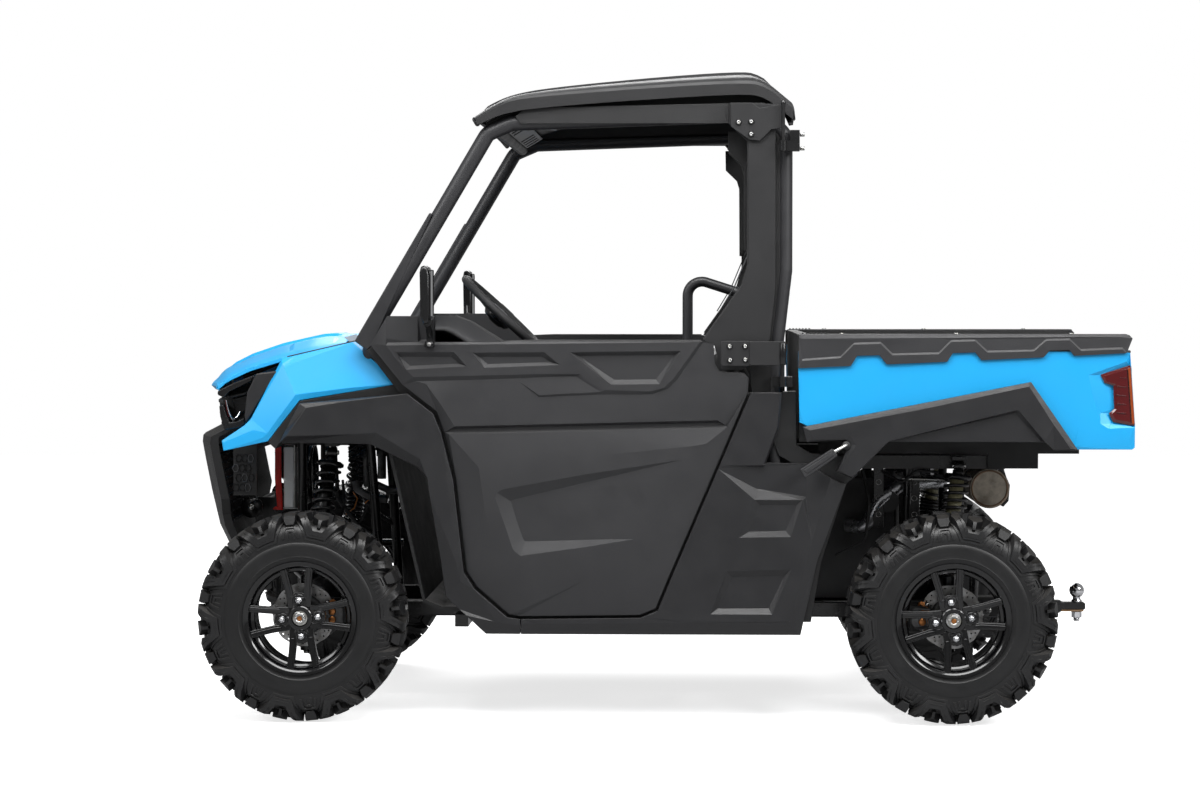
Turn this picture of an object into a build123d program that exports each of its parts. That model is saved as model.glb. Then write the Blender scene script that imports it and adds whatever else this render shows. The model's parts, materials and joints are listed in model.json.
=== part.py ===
from build123d import *
import math
import os

# Side by side utility vehicle: two seats, roll cage with a roof, two half-height rear-hinged doors and a
# tilting dump bed.  Millimetres, +X forward, +Y to the vehicle's left, +Z up.
# Origin: on the ground, at the middle of the vehicle's box.

os.makedirs("parts", exist_ok=True)

# ------------------------------------------------------------------ driving dimensions
FRONT_AXLE_X = 1055
REAR_AXLE_X = -889
TYRE_R = 315              # outside radius of all four tyres (25 in)
HUB_Z = TYRE_R
TYRE_OUT_Y = 765          # outer face of the tyres
FRONT_TYRE_W = 208
REAR_TYRE_W = 254
BEAD_R = 156              # where the tyre sits on the rim
FLANGE_R = 170            # 12 in rim flange
DISC_R = 97               # brake disc
SPINDLE_R = 17
KINGPIN_Y = 600           # steering pivot
DOOR_OUT_Y = 700          # outer face of doors and rockers
DOOR_T = 36               # thickness of the door wall
CAGE_Y = 632              # centre of the roll cage side tubes
CAGE_R = 24
FENDER_OUT_Y = 645        # outer face of the front fenders
BED_OUT_Y = 690
BED_FENDER_OUT_Y = 722
BED_WALL = 38
BED_FLOOR_Z = 846
HINGE_X, HINGE_Y = -383, 706   # door hinge pins
BED_PIVOT_X, BED_PIVOT_Z = -1049, 764
TAILGATE_HINGE_X, TAILGATE_HINGE_Z = -1421, 852
HOOD_HINGE_X, HOOD_HINGE_Z = 968, 1112
WHEEL_TILT = 43           # steering wheel plane, degrees from level
STEER_HUB = (478, 350, 1225)
GAP = 8                   # shut gap round doors, bed and hood


# ------------------------------------------------------------------ profile helpers
def side_prism(points, y0, y1, mode=Mode.ADD):
    """Solid between y0 and y1 whose outline (x, z) is seen from the side."""
    lo, hi = min(y0, y1), max(y0, y1)
    with BuildSketch(Plane(origin=(0, hi, 0), x_dir=(1, 0, 0), z_dir=(0, -1, 0))) as s:
        with BuildLine():
            Polyline(*points, close=True)
        make_face()
    extrude(s.sketch, amount=hi - lo, mode=mode)


def plan_prism(points, z0, z1, mode=Mode.ADD):
    """Solid between z0 and z1 whose outline (x, y) is seen from above."""
    with BuildSketch(Plane.XY.offset(z0)) as s:
        with BuildLine():
            Polyline(*points, close=True)
        make_face()
    extrude(s.sketch, amount=z1 - z0, mode=mode)


def front_prism(points, x0, x1, mode=Mode.ADD):
    """Solid between x0 and x1 whose outline (y, z) is seen from the front."""
    with BuildSketch(Plane.YZ.offset(x0)) as s:
        with BuildLine():
            Polyline(*points, close=True)
        make_face()
    extrude(s.sketch, amount=x1 - x0, mode=mode)


def block(x0, x1, y0, y1, z0, z1, mode=Mode.ADD):
    """Box between its six planes."""
    plan_prism([(x0, y0), (x1, y0), (x1, y1), (x0, y1)], z0, z1, mode)


def rod(a, b, r, mode=Mode.ADD):
    """Round bar from point a to point b."""
    va, vb = Vector(*a), Vector(*b)
    with BuildSketch(Plane(origin=va, z_dir=vb - va)) as s:
        Circle(r)
    extrude(s.sketch, amount=(vb - va).length, mode=mode)


def bent_tube(points, r, bend, mode=Mode.ADD):
    """Round tube along straight runs joined by arcs of radius bend."""
    with BuildLine() as path:
        FilletPolyline(*points, radius=bend)
    with BuildSketch(Plane(origin=path.line @ 0, z_dir=path.line % 0)) as s:
        Circle(r)
    sweep(sections=s.sketch, path=path.line, mode=mode)


def ruled_skin(sections):
    """Straight-sided skin through closed (x, z) outlines, each at its own y."""
    faces = []
    for y, outline in sections:
        with BuildSketch(Plane(origin=(0, y, 0), x_dir=(1, 0, 0), z_dir=(0, -1, 0))) as s:
            with BuildLine():
                Polyline(*outline, close=True)
            make_face()
        faces.append(s.sketch)
    loft(sections=faces, ruled=True)


def plate_outline(top, drop, run=0):
    """Closed outline of a plate under a polyline of (x, z): drop thick, its lower side moved by run."""
    return list(top) + [(x + run, z - drop) for x, z in reversed(top)]


def save(piece, name):
    piece.part.label = name
    export_step(piece.part, f"parts/{name}.step")


# ------------------------------------------------------------------ wheels
# columns: corner, hub x, side (+1 left), tyre width, brake disc y from the tyre's outer face
WHEELS = [
    ("front_left", FRONT_AXLE_X, 1, FRONT_TYRE_W),
    ("front_right", FRONT_AXLE_X, -1, FRONT_TYRE_W),
    ("rear_left", REAR_AXLE_X, 1, REAR_TYRE_W),
    ("rear_right", REAR_AXLE_X, -1, REAR_TYRE_W),
]
FACE_IN = 46              # wheel face inboard of the tyre's outer face
DISC_IN = 118             # brake disc inboard of the tyre's outer face
for corner, hub_x, side, width in WHEELS:
    # profile plane: local x = radius (up), local y = towards the vehicle's middle, from the outer face
    wheel_plane = Plane(origin=(hub_x, side * TYRE_OUT_Y, HUB_Z), x_dir=(0, 0, 1), z_dir=(side, 0, 0))
    axle = Axis((hub_x, side * TYRE_OUT_Y, HUB_Z), (0, side, 0))
    with BuildPart() as tyre:
        with BuildSketch(wheel_plane):
            with BuildLine():
                Polyline((BEAD_R, 11), (FLANGE_R + 8, 11), (212, 1), (262, 0), (292, 8), (TYRE_R, 34),
                         (TYRE_R, width - 34), (292, width - 8), (262, width), (212, width - 1),
                         (FLANGE_R + 8, width - 11), (BEAD_R, width - 11), (BEAD_R, width - 34),
                         (205, width - 18), (285, width - 26), (297, width - 44), (297, 44), (285, 26),
                         (205, 18), (BEAD_R, 34), close=True)
            make_face()
        revolve(axis=axle)
    save(tyre, f"tyre_{corner}")
    with BuildPart() as rim:
        with BuildSketch(wheel_plane):
            with BuildLine():
                Polyline((BEAD_R, 10), (FLANGE_R, 4), (FLANGE_R, 9), (BEAD_R, 10.5), (BEAD_R, width - 10.5),
                         (FLANGE_R, width - 9), (FLANGE_R, width - 4), (BEAD_R, width - 10),
                         (149, width - 12), (149, 66), (142, 56), (142, 36), (149, 12), close=True)
            make_face()
        revolve(axis=axle)
        with BuildSketch(wheel_plane):          # wheel face, hub and brake disc
            with BuildLine():
                Polyline((0, 18), (26, 18), (26, 28), (40, 30), (40, FACE_IN - 10), (74, FACE_IN - 8),
                         (112, FACE_IN - 16), (144, 38), (144, 50), (112, FACE_IN - 4), (74, FACE_IN + 6),
                         (50, FACE_IN + 6), (50, DISC_IN), (DISC_R, DISC_IN), (DISC_R, DISC_IN + 5),
                         (SPINDLE_R + 1.5, DISC_IN + 5), (SPINDLE_R + 1.5, 34), (0, 34), close=True)
            make_face()
        revolve(axis=axle)
        # the windows between the four double spokes
        with BuildSketch(Plane(origin=(hub_x, side * (TYRE_OUT_Y - 20), HUB_Z), x_dir=(1, 0, 0),
                               z_dir=(0, -side, 0))):
            with PolarLocations(0, 4, start_angle=45):
                with BuildLine():
                    Polyline((78, -24), (136, -52), (136, 52), (78, 24), close=True)
                make_face()
        extrude(amount=50, mode=Mode.SUBTRACT)
    save(rim, f"wheel_rim_{corner}")

# ------------------------------------------------------------------ knuckles and suspension
# columns: name, axle x, side, inner y, outer y of the upright, disc y, steered
KNUCKLE_TOP, KNUCKLE_BOTTOM = 388, 243
for name, side in (("left", 1), ("right", -1)):
    with BuildPart() as knuckle:
        block(FRONT_AXLE_X - 27, FRONT_AXLE_X + 27, side * 580, side * 626, KNUCKLE_BOTTOM, KNUCKLE_TOP)
        rod((FRONT_AXLE_X, side * 620, HUB_Z), (FRONT_AXLE_X, side * 727, HUB_Z), SPINDLE_R)
        block(FRONT_AXLE_X - 102, FRONT_AXLE_X - 20, side * 580, side * 602, 349, 362)     # steering arm
        # caliper behind the axle, straddling the disc
        block(FRONT_AXLE_X - 125, FRONT_AXLE_X - 20, side * 612, side * 626, 290, 345)
        block(FRONT_AXLE_X - 125, FRONT_AXLE_X - 60, side * 612, side * 672, 280, 350)
        block(FRONT_AXLE_X - 106, FRONT_AXLE_X - 50, side * 634, side * 655, 270, 360, Mode.SUBTRACT)
    save(knuckle, f"front_knuckle_{name}")

with BuildPart() as rear_knuckles:
    block(REAR_AXLE_X - 27, REAR_AXLE_X + 27, 548, 626, KNUCKLE_BOTTOM, KNUCKLE_TOP)
    rod((REAR_AXLE_X, 620, HUB_Z), (REAR_AXLE_X, 727, HUB_Z), SPINDLE_R)
    block(REAR_AXLE_X + 20, REAR_AXLE_X + 125, 606, 622, 290, 345)
    block(REAR_AXLE_X + 60, REAR_AXLE_X + 125, 606, 672, 280, 350)
    block(REAR_AXLE_X + 50, REAR_AXLE_X + 106, 634, 655, 270, 360, Mode.SUBTRACT)
    mirror(about=Plane.XZ)
save(rear_knuckles, "rear_knuckles")

# columns: node, axle x, outer ball y, half spread lower, half spread upper, inner z upper
ARMS = [("front_suspension_arms", FRONT_AXLE_X, 598, 125, 100, 455),
        ("rear_suspension_arms", REAR_AXLE_X, 560, 125, 90, 470)]
for name, axle_x, ball_y, spread_lo, spread_up, z_up in ARMS:
    with BuildPart() as arms:
        for s in (-1, 1):
            rod((axle_x + s * spread_lo, 300, 298), (axle_x, ball_y, 214), 13)
            rod((axle_x + s * spread_up, 326, z_up - 3), (axle_x, ball_y, 417), 12)
        rod((axle_x, ball_y, 203), (axle_x, ball_y, 228), 19)
        rod((axle_x, ball_y, 403), (axle_x, ball_y, 430), 19)
        rod((axle_x - 48, 450, 436), (axle_x + 48, 450, 436), 9)      # shock mount bar
        mirror(about=Plane.XZ)
    save(arms, name)

# columns: lower point, upper point, spring radius
SHOCKS = [((1050, 450, 462), (1000, 400, 792), 40), ((-893, 450, 462), (-930, 420, 756), 42)]
with BuildPart() as shocks:
    for low, top, r in SHOCKS:
        a, b = Vector(*low), Vector(*top)
        d = (b - a).normalized()
        rod(low, top, 16)
        rod(tuple(a + d * 60), tuple(b - d * 30), r)
        for x, y, z in (low, top):                                       # eyes
            block(x - 14, x + 14, y - 18, y + 18, z - 16, z + 15)
    mirror(about=Plane.XZ)
save(shocks, "shocks")

# columns: axle x, outer y
with BuildPart() as half_shafts:
    for axle_x, outer_y in ((FRONT_AXLE_X, 560), (REAR_AXLE_X, 524)):
        inner, outer = (axle_x, 125, 372), (axle_x, outer_y, HUB_Z)
        d = (Vector(*outer) - Vector(*inner)).normalized()
        rod(inner, outer, 13)
        rod(inner, tuple(Vector(*inner) + d * 70), 34)
        rod(tuple(Vector(*outer) - d * 62), outer, 33)
    mirror(about=Plane.XZ)
save(half_shafts, "half_shafts")

# the rack slides across the vehicle and its tie rods end under the knuckles' steering arms
RACK_X, RACK_Z = 935, 372
with BuildPart() as steering_rack:
    rod((RACK_X, -240, RACK_Z), (RACK_X, 240, RACK_Z), 12)
    for side in (-1, 1):
        rod((RACK_X, side * 230, RACK_Z), (FRONT_AXLE_X - 88, side * 588, 329), 9)
        rod((FRONT_AXLE_X - 88, side * 589, 319), (FRONT_AXLE_X - 88, side * 589, 339), 12)
save(steering_rack, "steering_rack")

# ------------------------------------------------------------------ frame and power train
RAIL_LO, RAIL_HI = 278, 318
with BuildPart() as frame:
    block(-1010, 1190, 235, 275, RAIL_LO, RAIL_HI)                     # lower rails
    block(-1066, -322, 330, 370, 744, 784)                             # upper rails under the bed
    rod((860, 258, 300), (896, 285, 828), 15)                          # front slanted posts
    rod((1110, 258, 300), (1110, 285, 828), 15)
    rod((878, 285, 826), (1192, 285, 826), 17)
    rod((852, 300, 455), (1188, 300, 455), 12)                         # upper arm mounts
    block(862, 880, 258, 304, 446, 464)
    block(1101, 1119, 258, 304, 446, 464)
    for x in (-345, -780, -940):
        rod((x, 258, 300), (x, 347, 764), 15)
    rod((-765, 300, 470), (-1012, 300, 470), 12)
    rod((-990, 258, 300), (-990, 300, 478), 14)
    block(-952, -908, 365, 446, 774, 784)                              # rear shock mounts
    block(980, 1020, 280, 424, 812, 822)                               # front shock mounts
    block(-370, -330, 235, 660, RAIL_LO + 2, RAIL_HI - 2)              # outriggers under the cab
    block(560, 600, 235, 640, RAIL_LO + 2, RAIL_HI - 2)
    mirror(about=Plane.XZ)
    for x in (-1010, -370, 100, 560, 1150):
        block(x, x + 40, -240, 240, RAIL_LO + 2, RAIL_HI - 2)          # cross members
    rod((1150, -285, 826), (1150, 285, 826), 14)
    block(-362, -322, -335, 335, 746, 782)
    rod((BED_PIVOT_X, 320, BED_PIVOT_Z), (BED_PIVOT_X, 380, BED_PIVOT_Z), 10, Mode.SUBTRACT)
    rod((BED_PIVOT_X, -380, BED_PIVOT_Z), (BED_PIVOT_X, -320, BED_PIVOT_Z), 10, Mode.SUBTRACT)
save(frame, "frame")

with BuildPart() as skid_plate:
    plan_prism([(-1000, -240), (1120, -240), (1185, -150), (1185, 150), (1120, 240), (-1000, 240)],
               RAIL_LO - 8, RAIL_LO - 0.2)
save(skid_plate, "skid_plate")

with BuildPart() as engine_and_gearcases:
    block(-745, -375, -225, 225, 330, 705)                              # engine with its drive, plain
    block(-995, -790, -118, 118, 322, 430)                              # rear gearcase
    block(975, 1135, -112, 112, 322, 430)                               # front gearcase
save(engine_and_gearcases, "engine_and_gearcases")

with BuildPart() as muffler:
    rod((-1034, -90, 680), (-1034, 318, 680), 60)
    rod((-1034, -150, 660), (-1034, -85, 660), 22)
save(muffler, "muffler")

with BuildPart() as tow_hitch:
    block(-1286, -1011, -32, 32, 256, 306)
    block(-1290, -1200, -21, 21, 263, 299, Mode.SUBTRACT)
    block(-1372, -1150, -20, 20, 267, 297)
    rod((-1344, 0, 235), (-1344, 0, 330), 11)
    rod((-1344, 0, 235), (-1344, 0, 266), 19)
    with Locations((-1344, 0, 333)):
        Sphere(24)
save(tow_hitch, "tow_hitch")

# ------------------------------------------------------------------ roll cage and roof
with BuildPart() as roll_cage_sides:
    bent_tube([(872, 572, 870), (872, 572, 1040), (845, CAGE_Y, 1178), (500, CAGE_Y, 1762), (425, CAGE_Y, 1794), (-325, CAGE_Y, 1820), (-389, CAGE_Y, 1756),
               (-389, CAGE_Y, 1352), (-362, CAGE_Y, 1120), (-362, CAGE_Y, 318)], CAGE_R, 36)
    bent_tube([(-387, 602, 1275), (-253, 462, 1288), (-97, 450, 1338), (-97, 450, 1010)],
              14, 45)                                                    # hip hoop
    rod((-387, CAGE_Y, 1275), (-387, 598, 1275), 14)
    block(-112, -82, 434, 500, 996, 1012)                               # hoop foot
    mirror(about=Plane.XZ)
save(roll_cage_sides, "roll_cage_sides")

INSIDE = CAGE_Y - CAGE_R - 0.5
with BuildPart() as roll_cage_crossbars:
    for x, z in ((472, 1776), (-347, 1800), (-389, 1440)):
        rod((x, -INSIDE, z), (x, INSIDE, z), 19)
save(roll_cage_crossbars, "roll_cage_crossbars")

# columns: y, roof top line (x, z) from front to rear
ROOF_T = 22
ROOF_LINES = [
    (672, [(540, 1806), (492, 1842), (432, 1872), (303, 1889), (43, 1911), (-257, 1925), (-332, 1922), (-427, 1856)]),
    (600, [(570, 1834), (510, 1868), (440, 1900), (320, 1926), (50, 1950), (-250, 1962), (-318, 1958), (-410, 1880)]),
    (220, [(587, 1848), (530, 1889), (450, 1918), (336, 1945), (57, 1970), (-264, 1983), (-320, 1976), (-404, 1900)]),
]
with BuildPart() as roof:
    ruled_skin([(s * y, plate_outline(top, ROOF_T)) for s, row in ((1, ROOF_LINES), (-1, ROOF_LINES[::-1]))
                for y, top in row])
    for s in (-1, 1):                                                    # side skirts over the cage tubes
        side_prism([(543, 1783), (540, 1806), (492, 1842), (432, 1872), (303, 1889), (43, 1911), (-257, 1925),
                    (-332, 1922), (-427, 1856), (-430, 1806), (-418, 1806), (-372, 1858), (-293, 1886),
                    (43, 1871), (290, 1855), (380, 1845), (447, 1822), (480, 1797)], s * 671, s * 659)
save(roof, "roof")

# ------------------------------------------------------------------ cab
CAB_Y = 636
with BuildPart() as cab_tub:
    outer = [(-300, 985), (-300, 340), (640, 340), (690, 361), (795, 824), (795, 905)]
    inner = [(805, 905), (805, 823), (697, 353), (642, 328), (-312, 328), (-312, 985)]
    side_prism(outer + inner, -CAB_Y, CAB_Y)
save(cab_tub, "cab_tub")

with BuildPart() as seat_base:
    side_prism([(-290, 341), (330, 341), (345, 580), (-290, 580)], -570, 570)
    side_prism([(-270, 330), (310, 330), (325, 562), (-270, 562)], -552, 552, Mode.SUBTRACT)
save(seat_base, "seat_base")

with BuildPart() as seat_cushion:
    side_prism([(-165, 583), (360, 583), (392, 628), (372, 690), (300, 702), (-165, 676)], 10, 560)
    mirror(about=Plane.XZ)
save(seat_cushion, "seat_cushion")

with BuildPart() as seat_back:
    side_prism([(-172, 690), (-112, 694), (-196, 1112), (-232, 1128), (-282, 1118), (-262, 583), (-172, 583)],
               10, 560)
    mirror(about=Plane.XZ)
save(seat_back, "seat_back")

DASH_Y = 492
COL_DIR = Vector(-0.682, 0, 0.731)        # steering shaft, from the dash up to the wheel
hub = Vector(*STEER_HUB)
with BuildPart() as dash:
    side_prism([(905, 1126), (760, 1140), (672, 1118), (648, 1040), (668, 960), (760, 912), (905, 912),
                (905, 930), (770, 930), (690, 972), (668, 1040), (690, 1104), (764, 1122), (905, 1108)],
               -DASH_Y, DASH_Y)
    block(690, 900, DASH_Y - 12, DASH_Y, 925, 1112)
    block(690, 900, -DASH_Y, 12 - DASH_Y, 925, 1112)
    rod(tuple(hub - COL_DIR * 330), tuple(hub - COL_DIR * 60), 45, Mode.SUBTRACT)
    for s in (-1, 1):                                                    # hood hinge brackets and pins
        block(890, HOOD_HINGE_X + 12, s * 318, s * 330, HOOD_HINGE_Z - 46, HOOD_HINGE_Z - 22)
        block(HOOD_HINGE_X - 12, HOOD_HINGE_X + 12, s * 318, s * 330, HOOD_HINGE_Z - 46, HOOD_HINGE_Z + 9)
        block(880, 903, s * 318, s * 330, HOOD_HINGE_Z - 46, 1114)
        rod((HOOD_HINGE_X, s * 322, HOOD_HINGE_Z), (HOOD_HINGE_X, s * 298, HOOD_HINGE_Z), 8)
save(dash, "dash")

with BuildPart() as steering_column:
    rod(tuple(hub - COL_DIR * 275), tuple(hub - COL_DIR * 78), 22)
    rod(tuple(hub - COL_DIR * 160), tuple(hub - COL_DIR * 84), 38)
save(steering_column, "steering_column")

with BuildPart() as steering_wheel:
    rim_c = hub
    with BuildSketch(Plane(origin=rim_c, x_dir=(0, 1, 0), z_dir=COL_DIR)):
        Circle(164)
        Circle(138, mode=Mode.SUBTRACT)
    extrude(amount=13, both=True)
    fillet(steering_wheel.edges(), 12)
    for ang in (0, 125, 235):
        tip = rim_c + Vector(0, math.cos(math.radians(ang)), 0) * 144 + Vector(0.731, 0, 0.682) * (math.sin(math.radians(ang)) * 144)
        rod(tuple(rim_c - COL_DIR * 45), tuple(tip), 9)
    rod(tuple(rim_c - COL_DIR * 70), tuple(rim_c - COL_DIR * 22), 40)
save(steering_wheel, "steering_wheel")

# ------------------------------------------------------------------ front bodywork
# columns: half width y, hood top line (x, z) from rear to front
HOOD_T = 14
HOOD_LINES = [
    (492, [(948, 1134), (1060, 1112), (1148, 1084), (1240, 1046), (1300, 1015), (1333, 992)]),
    (330, [(948, 1148), (1060, 1138), (1160, 1115), (1270, 1074), (1340, 1040), (1392, 992)]),
    (120, [(948, 1156), (1060, 1152), (1190, 1124), (1290, 1090), (1370, 1052), (1428, 992)]),
]
with BuildPart() as hood:
    ruled_skin([(s * y, plate_outline(top, HOOD_T)) for s, row in ((1, HOOD_LINES), (-1, HOOD_LINES[::-1]))
                for y, top in row])
    for s in (-1, 1):                                                    # hinge arms under its rear edge
        block(HOOD_HINGE_X - 16, HOOD_HINGE_X + 16, s * 300, s * 312, HOOD_HINGE_Z - 16, HOOD_HINGE_Z + 27)
        rod((HOOD_HINGE_X, s * 300, HOOD_HINGE_Z), (HOOD_HINGE_X, s * 312, HOOD_HINGE_Z), 9, Mode.SUBTRACT)
save(hood, "hood")

# columns: half width y, how far the nose stands ahead of its ends
FASCIA_LINE = [(1290, 968), (1322, 952), (1312, 872), (1370, 842), (1372, 822), (1363, 771), (1343, 670),
               (1318, 563), (1272, 468)]
FASCIA_T = 26
FASCIA_SECTIONS = [(448, 0), (300, 48), (120, 70), (-120, 70), (-300, 48), (-448, 0)]
with BuildPart() as front_fascia:
    ruled_skin([(y, [(x + ahead, z) for x, z in FASCIA_LINE]
                 + [(x + ahead - FASCIA_T, z - (4 if z > 960 else 0)) for x, z in reversed(FASCIA_LINE)])
                for y, ahead in FASCIA_SECTIONS])
    front_prism([(-250, 560), (250, 560), (300, 700), (300, 790), (-300, 790), (-300, 700)], 1200, 1450,
                Mode.SUBTRACT)                                           # grille opening
    for s in (-1, 1):                                                    # headlamp openings
        front_prism([(s * 250, 882), (s * 445, 882), (s * 445, 944), (s * 250, 944)], 1200, 1450, Mode.SUBTRACT)
        front_prism([(s * 452, 655), (s * 402, 600), (s * 380, 460), (s * 460, 460)], 1200, 1450,
                    Mode.SUBTRACT)                                       # clears the steered tyre
        block(1228, 1300, s * 431, s * 447, 662, 952)                    # side returns
    block(1240, 1275, -440, 440, 800, 838)                               # cross brace
save(front_fascia, "front_fascia")

with BuildPart() as headlamps:
    plan_prism([(1235, 262), (1235, 428), (1318, 428), (1348, 300), (1352, 262)], 886, 940)
    mirror(about=Plane.XZ)
save(headlamps, "headlamps")

with BuildPart() as front_bumper:
    rod((1262, -330, 618), (1262, 330, 618), 16)
    rod((1262, -330, 520), (1262, 330, 520), 16)
    for s in (-1, 1):
        block(1198, 1270, s * 193, s * 205, 480, 640)
        block(1191, 1199, s * 190, s * 240, 322, 596)
    block(1199, 1207, -210, 210, 585, 655)                               # winch plate
    for y in (-84, 84):
        for z in (600, 640):
            rod((1190, y, z), (1215, y, z), 5.2, Mode.SUBTRACT)
save(front_bumper, "front_bumper")

with BuildPart() as radiator:
    block(1130, 1178, -225, 225, 604, 806)
    for s in (-1, 1):
        block(1176, 1211, s * 214, s * 227, 600, 804)                    # side strips
        block(1142, 1158, s * 140, s * 170, 804, 811.8)                 # hangers under the top cross tube
save(radiator, "radiator")

with BuildPart() as front_fenders:
    shell = [(1128, 1087), (912, 1137), (766, 1012), (1068, 962), (1165, 838), (1302, 808), (1308, 839),
             (1237, 886), (1218, 906)]
    core = [(1118, 1074), (916, 1122), (800, 1021), (1076, 975), (1172, 851), (1288, 826), (1228, 873), (1206, 896)]
    side_prism(shell, 502, FENDER_OUT_Y)
    side_prism(core, 498, FENDER_OUT_Y - 12, Mode.SUBTRACT)
    rod((872, 572, 860), (872, 572, 1046), CAGE_R + 8, Mode.SUBTRACT)
    rod((874, 567, 1028), (850, 620, 1151), CAGE_R + 8, Mode.SUBTRACT)
    mirror(about=Plane.XZ)
save(front_fenders, "front_fenders")

# front flare, running down behind the wheel into the front of the sill
FLARE_SILL_X = 399
with BuildPart() as front_flares:
    side_prism([(1062, 954), (738, 984), (660, 924), (636, 866), (601, 727), (569, 450), (536, 398), (438, 314),
                (FLARE_SILL_X, 309), (FLARE_SILL_X, 264), (503, 264), (624, 374), (640, 490), (680, 731),
                (710, 765), (850, 832), (1125, 836), (1106, 872)], DOOR_OUT_Y - 48, DOOR_OUT_Y)
    side_prism([(1052, 938), (745, 966), (690, 900), (700, 800), (850, 846), (1100, 850), (1092, 868)],
               DOOR_OUT_Y - 60, DOOR_OUT_Y - 12, Mode.SUBTRACT)          # hollow behind the flare face
    mirror(about=Plane.XZ)
save(front_flares, "front_flares")

# rear side panel: sill, closed quarter behind the door and its shoulder
with BuildPart() as rear_side_panels:
    side_prism([(FLARE_SILL_X - 1, 309), (40, 314), (-12, 336), (-48, 424), (-193, 763), (-289, 988),
                (-381, 990), (-372, 882), (-334, 779), (-456, 776), (-527, 735), (-572, 714), (-488, 488),
                (-438, 264), (FLARE_SILL_X - 1, 264)], DOOR_OUT_Y - 36, DOOR_OUT_Y)
    side_prism([(-300, 672), (-452, 672), (-410, 556), (-250, 556), (-220, 612)], DOOR_OUT_Y - 12,
               DOOR_OUT_Y + 1, Mode.SUBTRACT)                            # moulded recess
    side_prism([(-217, 452), (-418, 462), (-362, 330), (-168, 330)], DOOR_OUT_Y - 12, DOOR_OUT_Y + 1,
               Mode.SUBTRACT)                                            # step recess
    mirror(about=Plane.XZ)
save(rear_side_panels, "rear_side_panels")

# ------------------------------------------------------------------ doors
DOOR_LINE = [(798, 1216), (849, 1130), (753, 1011), (650, 931), (627, 868), (592, 728), (560, 453), (529, 405),
             (433, 323), (405, 318), (43, 323), (-5, 343), (-39, 425), (-185, 765), (-280, 990), (-282, 1032),
             (-268, 1047), (-196, 1050), (-181, 1075), (-178, 1133), (-146, 1142), (369, 1142), (452, 1139),
             (548, 1199), (592, 1216)]
UPRIGHT_LINE = [(-361, 1846), (-225, 1850), (-225, 1790), (-280, 1738), (-281, 1369), (-263, 1309), (-146, 1144),
                (-180, 1128), (-200, 1056), (-262, 1056), (-326, 1100), (-345, 1150), (-361, 1294)]
LUG_UP, LUG_LO = 1706, 1006       # bottoms of the two fixed hinge lugs
for name, side in (("left", 1), ("right", -1)):
    with BuildPart() as door:
        side_prism(DOOR_LINE, side * (DOOR_OUT_Y - DOOR_T), side * DOOR_OUT_Y)
        side_prism(UPRIGHT_LINE, side * (DOOR_OUT_Y - DOOR_T + 2), side * (DOOR_OUT_Y - 16))
        # hinge straps and barrels
        block(-376, -300, side * 682, side * 700, LUG_UP + 36, LUG_UP + 72)
        rod((HINGE_X, side * HINGE_Y, LUG_UP + 35), (HINGE_X, side * HINGE_Y, LUG_UP + 80), 11)
        block(-384, -200, side * 698, side * 710, LUG_LO + 38, LUG_LO + 62)
        rod((HINGE_X, side * HINGE_Y, LUG_LO + 31), (HINGE_X, side * HINGE_Y, LUG_LO + 68), 11)
        block(-286, -203, side * 698, side * 706, 1050, 1140)
        rod((HINGE_X, side * HINGE_Y, LUG_UP), (HINGE_X, side * HINGE_Y, LUG_UP + 90), 6.2, Mode.SUBTRACT)
        rod((HINGE_X, side * HINGE_Y, LUG_LO), (HINGE_X, side * HINGE_Y, LUG_LO + 90), 6.2, Mode.SUBTRACT)
    save(door, f"door_{name}")
    with BuildPart() as mirror_arm:
        rod((668, side * (DOOR_OUT_Y + 7), 1154), (670, side * 776, 1214), 12)
        front_prism([(side * y, z) for y, z in [(722, 1204), (738, 1192), (815, 1192), (836, 1214), (840, 1330),
                                                (824, 1360), (745, 1365), (724, 1342)]], 645, 690)
    save(mirror_arm, f"mirror_{name}")

with BuildPart() as door_hinges:
    for z in (LUG_UP, LUG_LO):
        rod((HINGE_X, HINGE_Y, z), (HINGE_X, HINGE_Y, z + 30), 11)
        rod((HINGE_X, HINGE_Y, z), (HINGE_X, HINGE_Y, z + 78), 5.5)
    block(-432, -386, 657, 706, LUG_UP, LUG_UP + 30)
    block(-432, -404, 657, 700, LUG_UP + 30, LUG_UP + 62)
    block(-412, -352, 657, 672, LUG_LO, LUG_LO + 30)
    block(-412, -386, 657, 706, LUG_LO, LUG_LO + 30)
    mirror(about=Plane.XZ)
save(door_hinges, "door_hinges")

# ------------------------------------------------------------------ dump bed
BED_FRONT_X, BED_REAR_X = -428, -1392
with BuildPart() as bed_tub:
    block(BED_REAR_X, BED_FRONT_X - 6, -652, 652, BED_FLOOR_Z - 6, BED_FLOOR_Z + 18)
    block(BED_FRONT_X - 40, BED_FRONT_X - 6, -652, 652, BED_FLOOR_Z - 6, 1160)
    for s in (-1, 1):
        block(BED_REAR_X, BED_FRONT_X - 6, s * 638, s * 652, BED_FLOOR_Z + 10, 1118)
        block(BED_REAR_X, BED_FRONT_X, s * 638, s * 692, 1112, 1160)          # rail along the top
        block(-1175, -1020, s * 379, s * 391, 746, BED_FLOOR_Z - 2)          # pivot bracket
        rod((BED_PIVOT_X, s * 322, BED_PIVOT_Z), (BED_PIVOT_X, s * 385, BED_PIVOT_Z), 8.5)
        block(-1300, -500, s * 379, s * 391, 792, BED_FLOOR_Z - 2)           # floor stringer
save(bed_tub, "bed_tub")

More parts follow.
